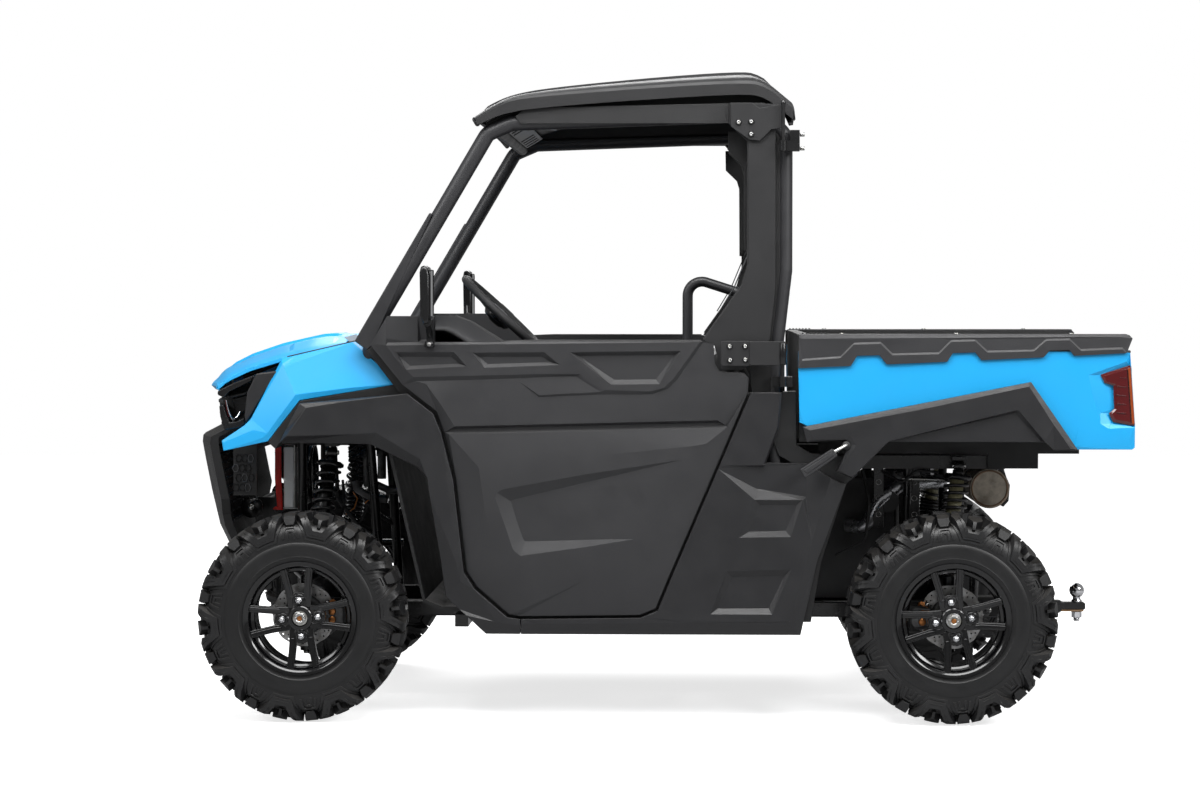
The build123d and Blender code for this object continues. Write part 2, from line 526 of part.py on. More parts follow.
LAMP_LINE = [(-1325, 1043), (-1412, 1071), (-1426, 891), (-1363, 902), (-1350, 927), (-1366, 941), (-1363, 1010),
             (-1336, 1018)]
with BuildPart() as bed_sides:
    side_prism([(-430, 1066), (-430, 1111), (-1392, 1111), (-1412, 1107), (-1428, 892), (-1428, 820), (-1242, 820),
                (-1110, 1005), (-900, 964), (-470, 880), (-434, 900)], 653, BED_OUT_Y)
    side_prism(LAMP_LINE, BED_OUT_Y - 14, BED_OUT_Y + 1, Mode.SUBTRACT)
    rod((TAILGATE_HINGE_X, 660, TAILGATE_HINGE_Z), (TAILGATE_HINGE_X, 626, TAILGATE_HINGE_Z), 7)
    mirror(about=Plane.XZ)
save(bed_sides, "bed_sides")

with BuildPart() as tail_lamps:
    side_prism(LAMP_LINE, BED_OUT_Y - 13.8, BED_OUT_Y + 3)
    mirror(about=Plane.XZ)
save(tail_lamps, "tail_lamps")

with BuildPart() as rear_fenders:
    side_prism([(-443, 887), (-1117, 1021), (-1257, 819), (-1186, 819), (-1158, 843), (-697, 843), (-589, 735),
                (-543, 756), (-581, 837), (-571, 850), (-455, 842)], BED_OUT_Y + 0.2, BED_FENDER_OUT_Y)
    side_prism([(-1240, 818), (-1110, 1000), (-900, 960), (-470, 874), (-455, 843), (-571, 850), (-581, 837),
                (-697, 843), (-1158, 843), (-1186, 819)], 653, BED_OUT_Y + 2)
    side_prism([(-1190, 818), (-1090, 968), (-900, 938), (-600, 880), (-590, 842), (-697, 840), (-1158, 840)],
               640, BED_OUT_Y - 4, Mode.SUBTRACT)
    mirror(about=Plane.XZ)
save(rear_fenders, "rear_fenders")

with BuildPart() as tailgate:
    block(-1442, -1400, -646, 646, TAILGATE_HINGE_Z - 8, 1112)
    block(-1418, -1399, -600, 600, 890, 1080, Mode.SUBTRACT)             # recessed inner face
    for s in (-1, 1):
        rod((TAILGATE_HINGE_X, s * 620, TAILGATE_HINGE_Z), (TAILGATE_HINGE_X, s * 650, TAILGATE_HINGE_Z), 8,
            Mode.SUBTRACT)
save(tailgate, "tailgate")
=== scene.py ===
import bpy, bmesh, math, json
from mathutils import Vector, Matrix, Quaternion, noise
from mathutils.geometry import delaunay_2d_cdt

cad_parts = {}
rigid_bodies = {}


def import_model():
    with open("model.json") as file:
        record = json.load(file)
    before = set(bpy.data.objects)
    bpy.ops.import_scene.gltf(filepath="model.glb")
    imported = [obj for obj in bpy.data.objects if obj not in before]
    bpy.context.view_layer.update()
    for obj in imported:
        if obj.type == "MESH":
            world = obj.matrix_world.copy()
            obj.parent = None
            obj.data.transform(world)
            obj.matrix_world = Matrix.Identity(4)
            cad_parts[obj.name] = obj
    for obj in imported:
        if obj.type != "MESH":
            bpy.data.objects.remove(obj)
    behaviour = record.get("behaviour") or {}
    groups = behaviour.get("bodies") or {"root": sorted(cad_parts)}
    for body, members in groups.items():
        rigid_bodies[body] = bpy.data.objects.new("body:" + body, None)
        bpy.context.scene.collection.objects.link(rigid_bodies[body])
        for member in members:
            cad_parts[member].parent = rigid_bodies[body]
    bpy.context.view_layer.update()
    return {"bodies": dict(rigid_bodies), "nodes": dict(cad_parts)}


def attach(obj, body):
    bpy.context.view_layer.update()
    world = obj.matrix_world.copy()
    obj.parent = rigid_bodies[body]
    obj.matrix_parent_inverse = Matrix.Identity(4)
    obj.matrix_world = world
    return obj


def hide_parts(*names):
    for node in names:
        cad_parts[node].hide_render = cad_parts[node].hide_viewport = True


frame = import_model()
NODES, BODIES = frame["nodes"], frame["bodies"]
SCN = bpy.context.scene

# ---------------------------------------------------------------- small tools (all sizes below are in mm)
MM = 0.001
CAM_X, CAM_Y, CAM_Z, FOCAL = -152.0, 9500.0, 1273.0, 2956.0      # the photo's eye point and focal length
VPU, VPV = 705.0, 297.0


def P(u, v, y=700.0):
    """Side-view place (x, z) in mm of a pixel (u, v) of the 1200x800 view, on the plane at y."""
    s = (CAM_Y - y) / FOCAL
    return (CAM_X + (VPU - u) * s, CAM_Z + (VPV - v) * s)


def PP(y, *uv):
    return [P(u, v, y) for u, v in uv]


def new_mesh(name, verts, faces, mat=None, smooth=True, scale=MM):
    me = bpy.data.meshes.new(name)
    me.from_pydata([Vector(v) * scale for v in verts], [], faces)
    me.validate()
    ob = bpy.data.objects.new(name, me)
    SCN.collection.objects.link(ob)
    if mat:
        me.materials.append(mat)
    for p in me.polygons:
        p.use_smooth = smooth
    return ob


def from_bm(name, bm, mat=None, smooth=True):
    me = bpy.data.meshes.new(name)
    bmesh.ops.recalc_face_normals(bm, faces=bm.faces)
    bm.to_mesh(me)
    bm.free()
    ob = bpy.data.objects.new(name, me)
    SCN.collection.objects.link(ob)
    if mat:
        for m in (mat if isinstance(mat, (list, tuple)) else [mat]):
            me.materials.append(m)
    for p in me.polygons:
        p.use_smooth = smooth
    return ob


def bevel(ob, width=2.0, segments=2, angle=25.0):
    m = ob.modifiers.new("edge", "BEVEL")
    m.width = width * MM
    m.segments = segments
    m.limit_method = "ANGLE"
    m.angle_limit = math.radians(angle)
    m.harden_normals = True
    m.use_clamp_overlap = True
    return m


def smooth_by_angle(ob, angle=35.0):
    """Marks edges sharper than angle as sharp, in the mesh itself."""
    me = ob.data
    bm = bmesh.new()
    bm.from_mesh(me)
    lim = math.radians(angle)
    for e in bm.edges:
        e.smooth = not (len(e.link_faces) == 2 and e.calc_face_angle(0.0) > lim)
    bm.to_mesh(me)
    bm.free()
    for p in me.polygons:
        p.use_smooth = True


def join(name, obs):
    """Joins mesh objects into one, keeping their materials."""
    bm = bmesh.new()
    mats = []
    for o in obs:
        dg = bpy.context.evaluated_depsgraph_get()
        ev = o.evaluated_get(dg)
        me = bpy.data.meshes.new_from_object(ev)
        me.transform(o.matrix_world)
        base = []
        for m in me.materials:
            if m not in mats:
                mats.append(m)
            base.append(mats.index(m))
        for p in me.polygons:
            p.material_index = base[p.material_index] if base else 0
        bm.from_mesh(me)
        bpy.data.meshes.remove(me)
    me = bpy.data.meshes.new(name)
    bm.to_mesh(me)
    bm.free()
    for m in mats:
        me.materials.append(m)
    ob = bpy.data.objects.new(name, me)
    SCN.collection.objects.link(ob)
    for o in obs:
        bpy.data.objects.remove(o)
    return ob


def mirrored(ob, name):
    """A copy of ob mirrored across the vehicle's middle plane, modifiers included."""
    me = ob.data.copy()
    me.transform(Matrix.Scale(-1, 4, (0, 1, 0)))
    me.flip_normals()
    o = bpy.data.objects.new(name, me)
    SCN.collection.objects.link(o)
    for m in ob.modifiers:
        n = o.modifiers.new(m.name, m.type)
        for prop in m.bl_rna.properties:
            if not prop.is_readonly and prop.identifier not in ("name", "type"):
                try:
                    setattr(n, prop.identifier, getattr(m, prop.identifier))
                except Exception:
                    pass
    return o


def tube_mesh(name, path, r, mat, seg=16, closed=False, caps=True):
    """Round tube through the points (mm), with one ring at each."""
    pts = [Vector(p) for p in path]
    n = len(pts)
    tang = []
    for i in range(n):
        if closed:
            t = pts[(i + 1) % n] - pts[i - 1]
        else:
            t = pts[min(i + 1, n - 1)] - pts[max(i - 1, 0)]
        tang.append(t.normalized())
    ref = Vector((0, 0, 1)) if abs(tang[0].z) < 0.9 else Vector((1, 0, 0))
    nrm = (ref - tang[0] * ref.dot(tang[0])).normalized()
    verts, faces = [], []
    for i in range(n):
        nrm = (nrm - tang[i] * nrm.dot(tang[i])).normalized()
        b = tang[i].cross(nrm)
        rr = r[i] if isinstance(r, (list, tuple)) else r
        for k in range(seg):
            a = 2 * math.pi * k / seg
            verts.append(pts[i] + (nrm * math.cos(a) + b * math.sin(a)) * rr)
    rings = n if closed else n - 1
    for i in range(rings):
        j = (i + 1) % n
        for k in range(seg):
            k2 = (k + 1) % seg
            faces.append((i * seg + k, i * seg + k2, j * seg + k2, j * seg + k))
    if caps and not closed:
        faces.append(tuple(range(seg))[::-1])
        faces.append(tuple(range((n - 1) * seg, n * seg)))
    ob = new_mesh(name, verts, faces, mat)
    smooth_by_angle(ob, 50)
    return ob


def rounded_path(points, radius, steps=6):
    """Points of a polyline whose corners are arcs of the given radius."""
    pts = [Vector(p) for p in points]
    out = [pts[0]]
    for i in range(1, len(pts) - 1):
        a, b, c = pts[i - 1], pts[i], pts[i + 1]
        d1, d2 = (a - b).normalized(), (c - b).normalized()
        ang = d1.angle(d2)
        if ang > math.pi - 0.02:
            out.append(b)
            continue
        t = min(radius / math.tan(ang / 2), 0.45 * min((a - b).length, (c - b).length))
        rad = t * math.tan(ang / 2)
        mid = (d1 + d2).normalized()
        cen = b + mid * (rad / math.sin(ang / 2))
        p1, p2 = b + d1 * t, b + d2 * t
        v1, v2 = p1 - cen, p2 - cen
        q = v1.rotation_difference(v2)
        for k in range(steps + 1):
            qq = Quaternion().slerp(q, k / steps)
            out.append(cen + qq @ v1)
    out.append(pts[-1])
    return out


def revolved(name, profile, centre, axis, mat, seg=64, close=True, arc=None):
    """Surface of revolution: profile is (radius, height along axis) in mm."""
    ax = Vector(axis).normalized()
    ref = Vector((0, 0, 1)) if abs(ax.z) < 0.9 else Vector((1, 0, 0))
    e1 = (ref - ax * ref.dot(ax)).normalized()
    e2 = ax.cross(e1)
    c = Vector(centre)
    m = len(profile)
    verts, faces = [], []
    for k in range(seg):
        a = 2 * math.pi * k / seg
        d = e1 * math.cos(a) + e2 * math.sin(a)
        for r, h in profile:
            verts.append(c + d * r + ax * h)
    for k in range(seg):
        k2 = (k + 1) % seg
        for i in range(m if close else m - 1):
            j = (i + 1) % m
            faces.append((k * m + i, k * m + j, k2 * m + j, k2 * m + i))
    bm = bmesh.new()
    vs = [bm.verts.new(v * MM) for v in verts]
    for f in faces:
        q = [vs[i] for i in f]
        try:
            bm.faces.new(q)
        except ValueError:
            pass
    bmesh.ops.remove_doubles(bm, verts=bm.verts, dist=1e-6)
    bmesh.ops.dissolve_degenerate(bm, edges=bm.edges, dist=1e-6)
    ob = from_bm(name, bm, mat)
    return ob


def box_mesh(name, x0, x1, y0, y1, z0, z1, mat, bev=1.5, seg=2):
    v = [(x, y, z) for x in (x0, x1) for y in (y0, y1) for z in (z0, z1)]
    f = [(0, 1, 3, 2), (4, 6, 7, 5), (0, 4, 5, 1), (2, 3, 7, 6), (0, 2, 6, 4), (1, 5, 7, 3)]
    ob = new_mesh(name, v, f, mat)
    bm = bmesh.new(); bm.from_mesh(ob.data)
    bmesh.ops.recalc_face_normals(bm, faces=bm.faces)
    bm.to_mesh(ob.data); bm.free()
    if bev:
        bevel(ob, bev, seg)
    return ob


def prism_y(name, pts, y0, y1, mat, bev=1.5, seg=2, angle=25):
    """Side outline (x, z) pulled from y0 to y1."""
    n = len(pts)
    v = [(x, y0, z) for x, z in pts] + [(x, y1, z) for x, z in pts]
    f = [tuple(range(n)), tuple(range(n, 2 * n))[::-1]]
    f += [(i, i + n, (i + 1) % n + n, (i + 1) % n) for i in range(n)]
    ob = new_mesh(name, v, f, mat)
    bm = bmesh.new(); bm.from_mesh(ob.data)
    bmesh.ops.recalc_face_normals(bm, faces=bm.faces)
    bm.to_mesh(ob.data); bm.free()
    if bev:
        bevel(ob, bev, seg, angle)
    return ob


def crease_panel(name, outline, lines, y_out, thick, mat, holes=(), bev=2.0, seg=2, angle=12.0, back=None,
                 side=1, flat=0.6):
    """Moulded panel seen from the side.  outline, lines and holes are points (x, z, depth): the depth in mm
    is how far the surface lies inboard of y_out there, and each line is a crease.  thick is the wall."""
    pts, key, edges = [], {}, []

    def add(p):
        k = (round(p[0], 1), round(p[1], 1))
        if k not in key:
            key[k] = len(pts)
            pts.append((p[0], p[1], p[2] if len(p) > 2 else 0.0))
        return key[k]
    rings = [list(outline)] + [list(h) for h in holes]
    for ring in rings:
        ids = [add(p) for p in ring]
        edges += [(ids[i], ids[(i + 1) % len(ids)]) for i in range(len(ids)) if ids[i] != ids[(i + 1) % len(ids)]]
    for ln in lines:
        ids = [add(p) for p in ln]
        edges += [(a, b) for a, b in zip(ids, ids[1:]) if a != b]
    res = delaunay_2d_cdt([Vector((p[0], p[1])) for p in pts], edges, [], 1, 0.05)
    v2, faces, ov = res[0], res[2], res[3]
    depth = []
    for i, v in enumerate(v2):
        if ov[i]:
            depth.append(sum(pts[j][2] for j in ov[i]) / len(ov[i]))
        else:
            best, dep = 1e9, 0.0
            for a, b in edges:
                pa, pb = Vector(pts[a][:2]), Vector(pts[b][:2])
                ab = pb - pa
                t = max(0.0, min(1.0, (v - pa).dot(ab) / max(ab.length_squared, 1e-9)))
                d = (pa + ab * t - v).length
                if d < best:
                    best, dep = d, pts[a][2] * (1 - t) + pts[b][2] * t
            depth.append(dep)

    def inside(pt, ring):
        x, z = pt
        c = False
        for i in range(len(ring)):
            x1, z1, x2, z2 = ring[i][0], ring[i][1], ring[i - 1][0], ring[i - 1][1]
            if (z1 > z) != (z2 > z) and x < (x2 - x1) * (z - z1) / (z2 - z1) + x1:
                c = not c
        return c
    keep = []
    for f in faces:
        cx = sum(v2[i].x for i in f) / len(f)
        cz = sum(v2[i].y for i in f) / len(f)
        if inside((cx, cz), outline) and not any(inside((cx, cz), h) for h in holes):
            keep.append(f)
    bm = bmesh.new()
    front = [bm.verts.new(Vector((v.x, side * (y_out - depth[i]), v.y)) * MM) for i, v in enumerate(v2)]
    for f in keep:
        try:
            bm.faces.new([front[i] for i in f])
        except ValueError:
            pass
    for v in list(bm.verts):
        if not v.link_faces:
            bm.verts.remove(v)
    border = [e for e in bm.edges if len(e.link_faces) == 1]
    bmesh.ops.dissolve_limit(bm, angle_limit=math.radians(flat), verts=bm.verts, edges=[e for e in bm.edges if e not in border])
    border = [e for e in bm.edges if len(e.link_faces) == 1]
    faces_front = list(bm.faces)
    dup = bmesh.ops.duplicate(bm, geom=faces_front)
    vmap = dup["vert_map"]
    seen = set()
    yb = (y_out - thick) if back is None else back
    for v in {v for f in faces_front for v in f.verts}:
        w = vmap[v]
        w.co.y = side * min(abs(v.co.y) - 2.0 * MM, yb * MM) if thick else w.co.y
    for e in border:
        a, b = e.verts
        try:
            bm.faces.new([a, b, vmap[b], vmap[a]])
        except ValueError:
            pass
    ob = from_bm(name, bm, mat)
    if bev:
        bevel(ob, bev, seg, angle)
    return ob


def both_sides(ob, name, body_l, body_r=None, nodes_l=(), nodes_r=()):
    """Gives a left piece its body and makes its mirror image for the right side."""
    r = mirrored(ob, name + "_right")
    ob.name = name + "_left"
    ob.data.name = ob.name
    for o, b, ns in ((ob, body_l, nodes_l), (r, body_r or body_l, nodes_r)):
        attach(o, b)
        if ns:
            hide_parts(*ns)
    return ob, r


def put(ob, body, slot=None, *nodes):
    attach(ob, body)
    if nodes:
        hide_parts(*nodes)
    return ob

# ---------------------------------------------------------------- materials
def _lin(c):
    return tuple((v / 12.92 if v <= 0.04045 else ((v + 0.055) / 1.055) ** 2.4) for v in c)


def hexc(h):
    return _lin(tuple(int(h[i:i + 2], 16) / 255 for i in (0, 2, 4)))


def surface(name, colour, rough=0.5, metal=0.0, vary=0.08, vary_scale=3.0, grain=0.0, grain_scale=900.0,
            grain_kind="NOISE", coat=0.0, coat_rough=0.05, rough_vary=0.06, second=None, second_mix=0.0,
            second_scale=18.0, dust=0.0, dust_colour=(0.30, 0.27, 0.23), spec=0.5, waves=0.0, wave_scale=8.0,
            emit=0.0, stretch=(1, 1, 1)):
    """Procedural material: slow colour drift, fine grain in the bump, uneven roughness, dust in flat places."""
    m = bpy.data.materials.new(name)
    m.use_nodes = True
    nt = m.node_tree
    N, L = nt.nodes, nt.links
    bs = N["Principled BSDF"]
    bs.inputs["Metallic"].default_value = metal
    bs.inputs["Coat Weight"].default_value = coat
    bs.inputs["Coat Roughness"].default_value = coat_rough
    bs.inputs["Specular IOR Level"].default_value = spec
    co = N.new("ShaderNodeTexCoord")
    mp = N.new("ShaderNodeMapping")
    mp.inputs["Scale"].default_value = stretch
    L.new(co.outputs["Object"], mp.inputs["Vector"])

    def tex(scale, detail=3.0, rough_=0.55):
        t = N.new("ShaderNodeTexNoise")
        t.inputs["Scale"].default_value = scale
        t.inputs["Detail"].default_value = detail
        t.inputs["Roughness"].default_value = rough_
        L.new(mp.outputs["Vector"], t.inputs["Vector"])
        return t
    slow = tex(vary_scale, 4.0)
    ramp = N.new("ShaderNodeValToRGB")
    lo = tuple(max(0.0, c * (1 - vary)) for c in colour)
    hi = tuple(min(1.0, c * (1 + vary)) for c in colour)
    ramp.color_ramp.elements[0].position = 0.3
    ramp.color_ramp.elements[0].color = (*lo, 1)
    ramp.color_ramp.elements[1].position = 0.7
    ramp.color_ramp.elements[1].color = (*hi, 1)
    L.new(slow.outputs["Fac"], ramp.inputs["Fac"])
    col = ramp.outputs["Color"]
    if second is not None:
        t = tex(second_scale, 6.0, 0.65)
        r2 = N.new("ShaderNodeValToRGB")
        r2.color_ramp.elements[0].position = 0.5 - 0.45 * second_mix
        r2.color_ramp.elements[1].position = min(1.0, 0.62 + 0.2 * (1 - second_mix))
        L.new(t.outputs["Fac"], r2.inputs["Fac"])
        mx = N.new("ShaderNodeMix")
        mx.data_type = "RGBA"
        mx.inputs["B"].default_value = (*second, 1)
        L.new(r2.outputs["Color"], mx.inputs["Factor"])
        L.new(col, mx.inputs["A"])
        col = mx.outputs["Result"]
    if dust > 0:
        geo = N.new("ShaderNodeNewGeometry")
        sep = N.new("ShaderNodeSeparateXYZ")
        L.new(geo.outputs["Normal"], sep.inputs["Vector"])
        up = N.new("ShaderNodeMapRange")
        up.inputs["From Min"].default_value = 0.25
        up.inputs["From Max"].default_value = 1.0
        up.inputs["To Max"].default_value = dust
        L.new(sep.outputs["Z"], up.inputs["Value"])
        dn = tex(40.0, 5.0)
        mu = N.new("ShaderNodeMath")
        mu.operation = "MULTIPLY"
        L.new(up.outputs["Result"], mu.inputs[0])
        L.new(dn.outputs["Fac"], mu.inputs[1])
        mx = N.new("ShaderNodeMix")
        mx.data_type = "RGBA"
        mx.inputs["B"].default_value = (*dust_colour, 1)
        L.new(mu.outputs["Value"], mx.inputs["Factor"])
        L.new(col, mx.inputs["A"])
        col = mx.outputs["Result"]
    L.new(col, bs.inputs["Base Color"])
    if rough_vary > 0:
        rn = tex(14.0, 3.0)
        rr = N.new("ShaderNodeMapRange")
        rr.inputs["From Min"].default_value = 0.3
        rr.inputs["From Max"].default_value = 0.7
        rr.inputs["To Min"].default_value = max(0.02, rough - rough_vary)
        rr.inputs["To Max"].default_value = min(1.0, rough + rough_vary)
        L.new(rn.outputs["Fac"], rr.inputs["Value"])
        L.new(rr.outputs["Result"], bs.inputs["Roughness"])
    else:
        bs.inputs["Roughness"].default_value = rough
    last = None
    if grain > 0:
        if grain_kind == "VORONOI":
            g = N.new("ShaderNodeTexVoronoi")
            g.inputs["Scale"].default_value = grain_scale
            L.new(mp.outputs["Vector"], g.inputs["Vector"])
            out = g.outputs["Distance"]
        else:
            g = tex(grain_scale, 3.0, 0.6)
            out = g.outputs["Fac"]
        b = N.new("ShaderNodeBump")
        b.inputs["Strength"].default_value = grain
        b.inputs["Distance"].default_value = 0.0006
        L.new(out, b.inputs["Height"])
        last = b
    if waves > 0:
        w = tex(wave_scale, 2.0)
        b2 = N.new("ShaderNodeBump")
        b2.inputs["Strength"].default_value = waves
        b2.inputs["Distance"].default_value = 0.003
        L.new(w.outputs["Fac"], b2.inputs["Height"])
        if last:
            L.new(last.outputs["Normal"], b2.inputs["Normal"])
        last = b2
    if last:
        L.new(last.outputs["Normal"], bs.inputs["Normal"])
    if emit:
        bs.inputs["Emission Color"].default_value = (*colour, 1)
        bs.inputs["Emission Strength"].default_value = emit
    return m


M = {}
M["blue"] = surface("blue_body_plastic", hexc("109BD8"), 0.42, vary=0.03, vary_scale=2.0, grain=0.04, grain_scale=900,
                    coat=0.12, coat_rough=0.25, rough_vary=0.03)
M["door"] = surface("door_grained_plastic", hexc("232325"), 0.50, vary=0.06, grain=0.55, grain_scale=1100,
                    grain_kind="VORONOI", rough_vary=0.07, dust=0.05)
M["fender"] = surface("fender_plastic", hexc("1A1A1C"), 0.40, vary=0.06, grain=0.35, grain_scale=1500,
                      grain_kind="VORONOI", rough_vary=0.06, dust=0.05)
M["roof"] = surface("roof_satin_plastic", hexc("222223"), 0.52, vary=0.05, grain=0.15, grain_scale=1500,
                    rough_vary=0.05, spec=0.4)
M["dark"] = surface("black_plastic", hexc("0E0E0F"), 0.5, vary=0.08, grain=0.4, grain_scale=1300,
                    grain_kind="VORONOI", dust=0.08)
M["smooth_black"] = surface("smooth_black_plastic", hexc("111112"), 0.26, vary=0.06, grain=0.06, grain_scale=800)
M["header_grey"] = surface("header_grey_plastic", hexc("9A9B9D"), 0.5, vary=0.05, grain=0.2, grain_scale=700)
M["rail"] = surface("bed_rail_plastic", hexc("2B2B2D"), 0.46, vary=0.05, grain=0.35, grain_scale=1300, grain_kind="VORONOI", dust=0.05)
M["cage"] = surface("cage_satin_coat", hexc("29292B"), 0.44, vary=0.05, vary_scale=9, rough_vary=0.08)
M["tank_grey"] = surface("radiator_tank_grey", hexc("F0F1F3"), 0.42, vary=0.05, grain=0.1, grain_scale=500)
M["frame"] = surface("frame_powder_coat", hexc("0D0D0E"), 0.30, metal=0.0, vary=0.06, grain=0.07, grain_scale=900,
                     coat=0.25, coat_rough=0.2, dust=0.06)
M["cast"] = surface("cast_aluminium", hexc("77787A"), 0.5, metal=0.85, vary=0.12, grain=0.5, grain_scale=500,
                    second=hexc("4C4A46"), second_mix=0.35, second_scale=30)
M["engine"] = surface("engine_cast_black", hexc("2A2A2B"), 0.55, metal=0.3, vary=0.15, grain=0.5, grain_scale=400,
                      dust=0.12)
M["steel"] = surface("bare_steel", hexc("A8A8A8"), 0.32, metal=1.0, vary=0.10, grain=0.12, grain_scale=900,
                     second=hexc("6F6A63"), second_mix=0.2, second_scale=60)
M["zinc"] = surface("zinc_plate", hexc("B9BABB"), 0.26, metal=1.0, vary=0.08, grain=0.08, grain_scale=700,
                    second=hexc("9A9684"), second_mix=0.2, second_scale=80)
M["chrome"] = surface("polished_chrome", hexc("DCDDE0"), 0.07, metal=1.0, vary=0.03, rough_vary=0.03)
M["copper"] = surface("copper_clip", hexc("B87A4A"), 0.35, metal=1.0, vary=0.12)
M["alu"] = surface("radiator_aluminium", hexc("B2B3B4"), 0.45, metal=0.7, vary=0.08, grain=0.3, grain_scale=600)
M["muffler"] = surface("muffler_tan_steel", hexc("DDD2C1"), 0.6, metal=0.0, vary=0.12, grain=0.35, grain_scale=300,
                       second=hexc("6A5F52"), second_mix=0.35, second_scale=14)
M["red_strip"] = surface("red_hose", hexc("DD2620"), 0.4, vary=0.1)
M["rim"] = surface("rim_gloss_black", hexc("040405"), 0.2, vary=0.05, grain=0.03, grain_scale=600, coat=0.6,
                   coat_rough=0.06, spec=0.3)
M["tyre"] = surface("tyre_rubber", hexc("0B0B0C"), 0.44, vary=0.10, vary_scale=6, grain=0.35, grain_scale=700,
                    rough_vary=0.08, dust=0.05, waves=0.05, wave_scale=30)
M["tread"] = surface("tread_rubber", hexc("121213"), 0.44, vary=0.12, vary_scale=10, grain=0.4, grain_scale=600,
                     dust=0.10)
M["grip"] = surface("wheel_grip", hexc("1B1B1C"), 0.6, vary=0.06, grain=0.7, grain_scale=1600, grain_kind="VORONOI")
M["vinyl"] = surface("seat_vinyl", hexc("171718"), 0.48, vary=0.08, grain=0.6, grain_scale=900, grain_kind="VORONOI",
                     coat=0.05)
M["vinyl_grey"] = surface("seat_vinyl_grey", hexc("2C2D2F"), 0.5, vary=0.08, grain=0.6, grain_scale=900,
                          grain_kind="VORONOI")
M["stitch"] = surface("seat_thread", hexc("6A6B6E"), 0.7, vary=0.1, grain=0.4, grain_scale=2500)
M["belt"] = surface("belt_webbing", hexc("3A3B3D"), 0.7, vary=0.08, grain=0.8, grain_scale=1200)
M["lens_red"] = surface("tail_lens_red", hexc("4A0508"), 0.12, vary=0.10, coat=0.6, coat_rough=0.03, grain=0.4,
                        grain_scale=260, grain_kind="VORONOI")
M["lens_amber"] = surface("tail_lens_amber", hexc("8A3A10"), 0.15, vary=0.1, coat=0.6, coat_rough=0.03)
M["reflector"] = surface("lamp_reflector", hexc("D5D7DA"), 0.14, metal=1.0, vary=0.05)
M["mirror"] = surface("mirror_glass", hexc("C9CDD1"), 0.03, metal=1.0, vary=0.02, rough_vary=0.01)
M["coil"] = surface("spring_black", hexc("1C1C1D"), 0.3, vary=0.08, grain=0.1, grain_scale=600, coat=0.3)
M["panel_grey"] = surface("grey_trim", hexc("4A4B4D"), 0.5, vary=0.06, grain=0.4, grain_scale=900)
M["rubber"] = surface("boot_rubber", hexc("181819"), 0.6, vary=0.1, grain=0.3, grain_scale=600)


def glass(name, colour, rough=0.04):
    m = surface(name, colour, rough, vary=0.02, rough_vary=0.0)
    bs = m.node_tree.nodes["Principled BSDF"]
    bs.inputs["Transmission Weight"].default_value = 0.92
    bs.inputs["IOR"].default_value = 1.45
    bs.inputs["Roughness"].default_value = rough
    return m


M["lens_clear"] = glass("lamp_lens_clear", (0.93, 0.95, 0.97))

# ---------------------------------------------------------------- wheels
TYRE_OUT, HUB_Z, TYRE_R = 765.0, 315.0, 315.0
FRONT_X, REAR_X = 1055.0, -889.0


def wheel_point(hub_x, r, theta, y_in):
    """theta in degrees from the top, towards the rear; y_in inboard from the tyre's outer face (left side)."""
    a = math.radians(theta)
    return Vector((hub_x - r * math.sin(a), TYRE_OUT - y_in, HUB_Z + r * math.cos(a)))


def carcass(width):
    """Outer skin of the tyre from the smooth sidewall to the middle of the tread: (radius, y_in)."""
    return [(229, 6.0), (243, 6.6), (255, 8.8), (265, 13), (273, 19.5), (279.5, 27.5), (284, 37), (286.5, 49),
            (288, 62), (289, width / 2)]


def skin_frame(prof, s):
    d = 0.0
    for (r1, y1), (r2, y2) in zip(prof, prof[1:]):
        seg = math.hypot(r2 - r1, y2 - y1)
        if d + seg >= s or (r2, y2) == prof[-1]:
            t = max(0.0, min(1.0, (s - d) / seg)) if s <= d + seg else (s - d) / seg
            r, y = r1 + (r2 - r1) * t, y1 + (y2 - y1) * t
            nr, ny = (y2 - y1) / seg, -(r2 - r1) / seg
            return r, y, nr, ny
        d += seg


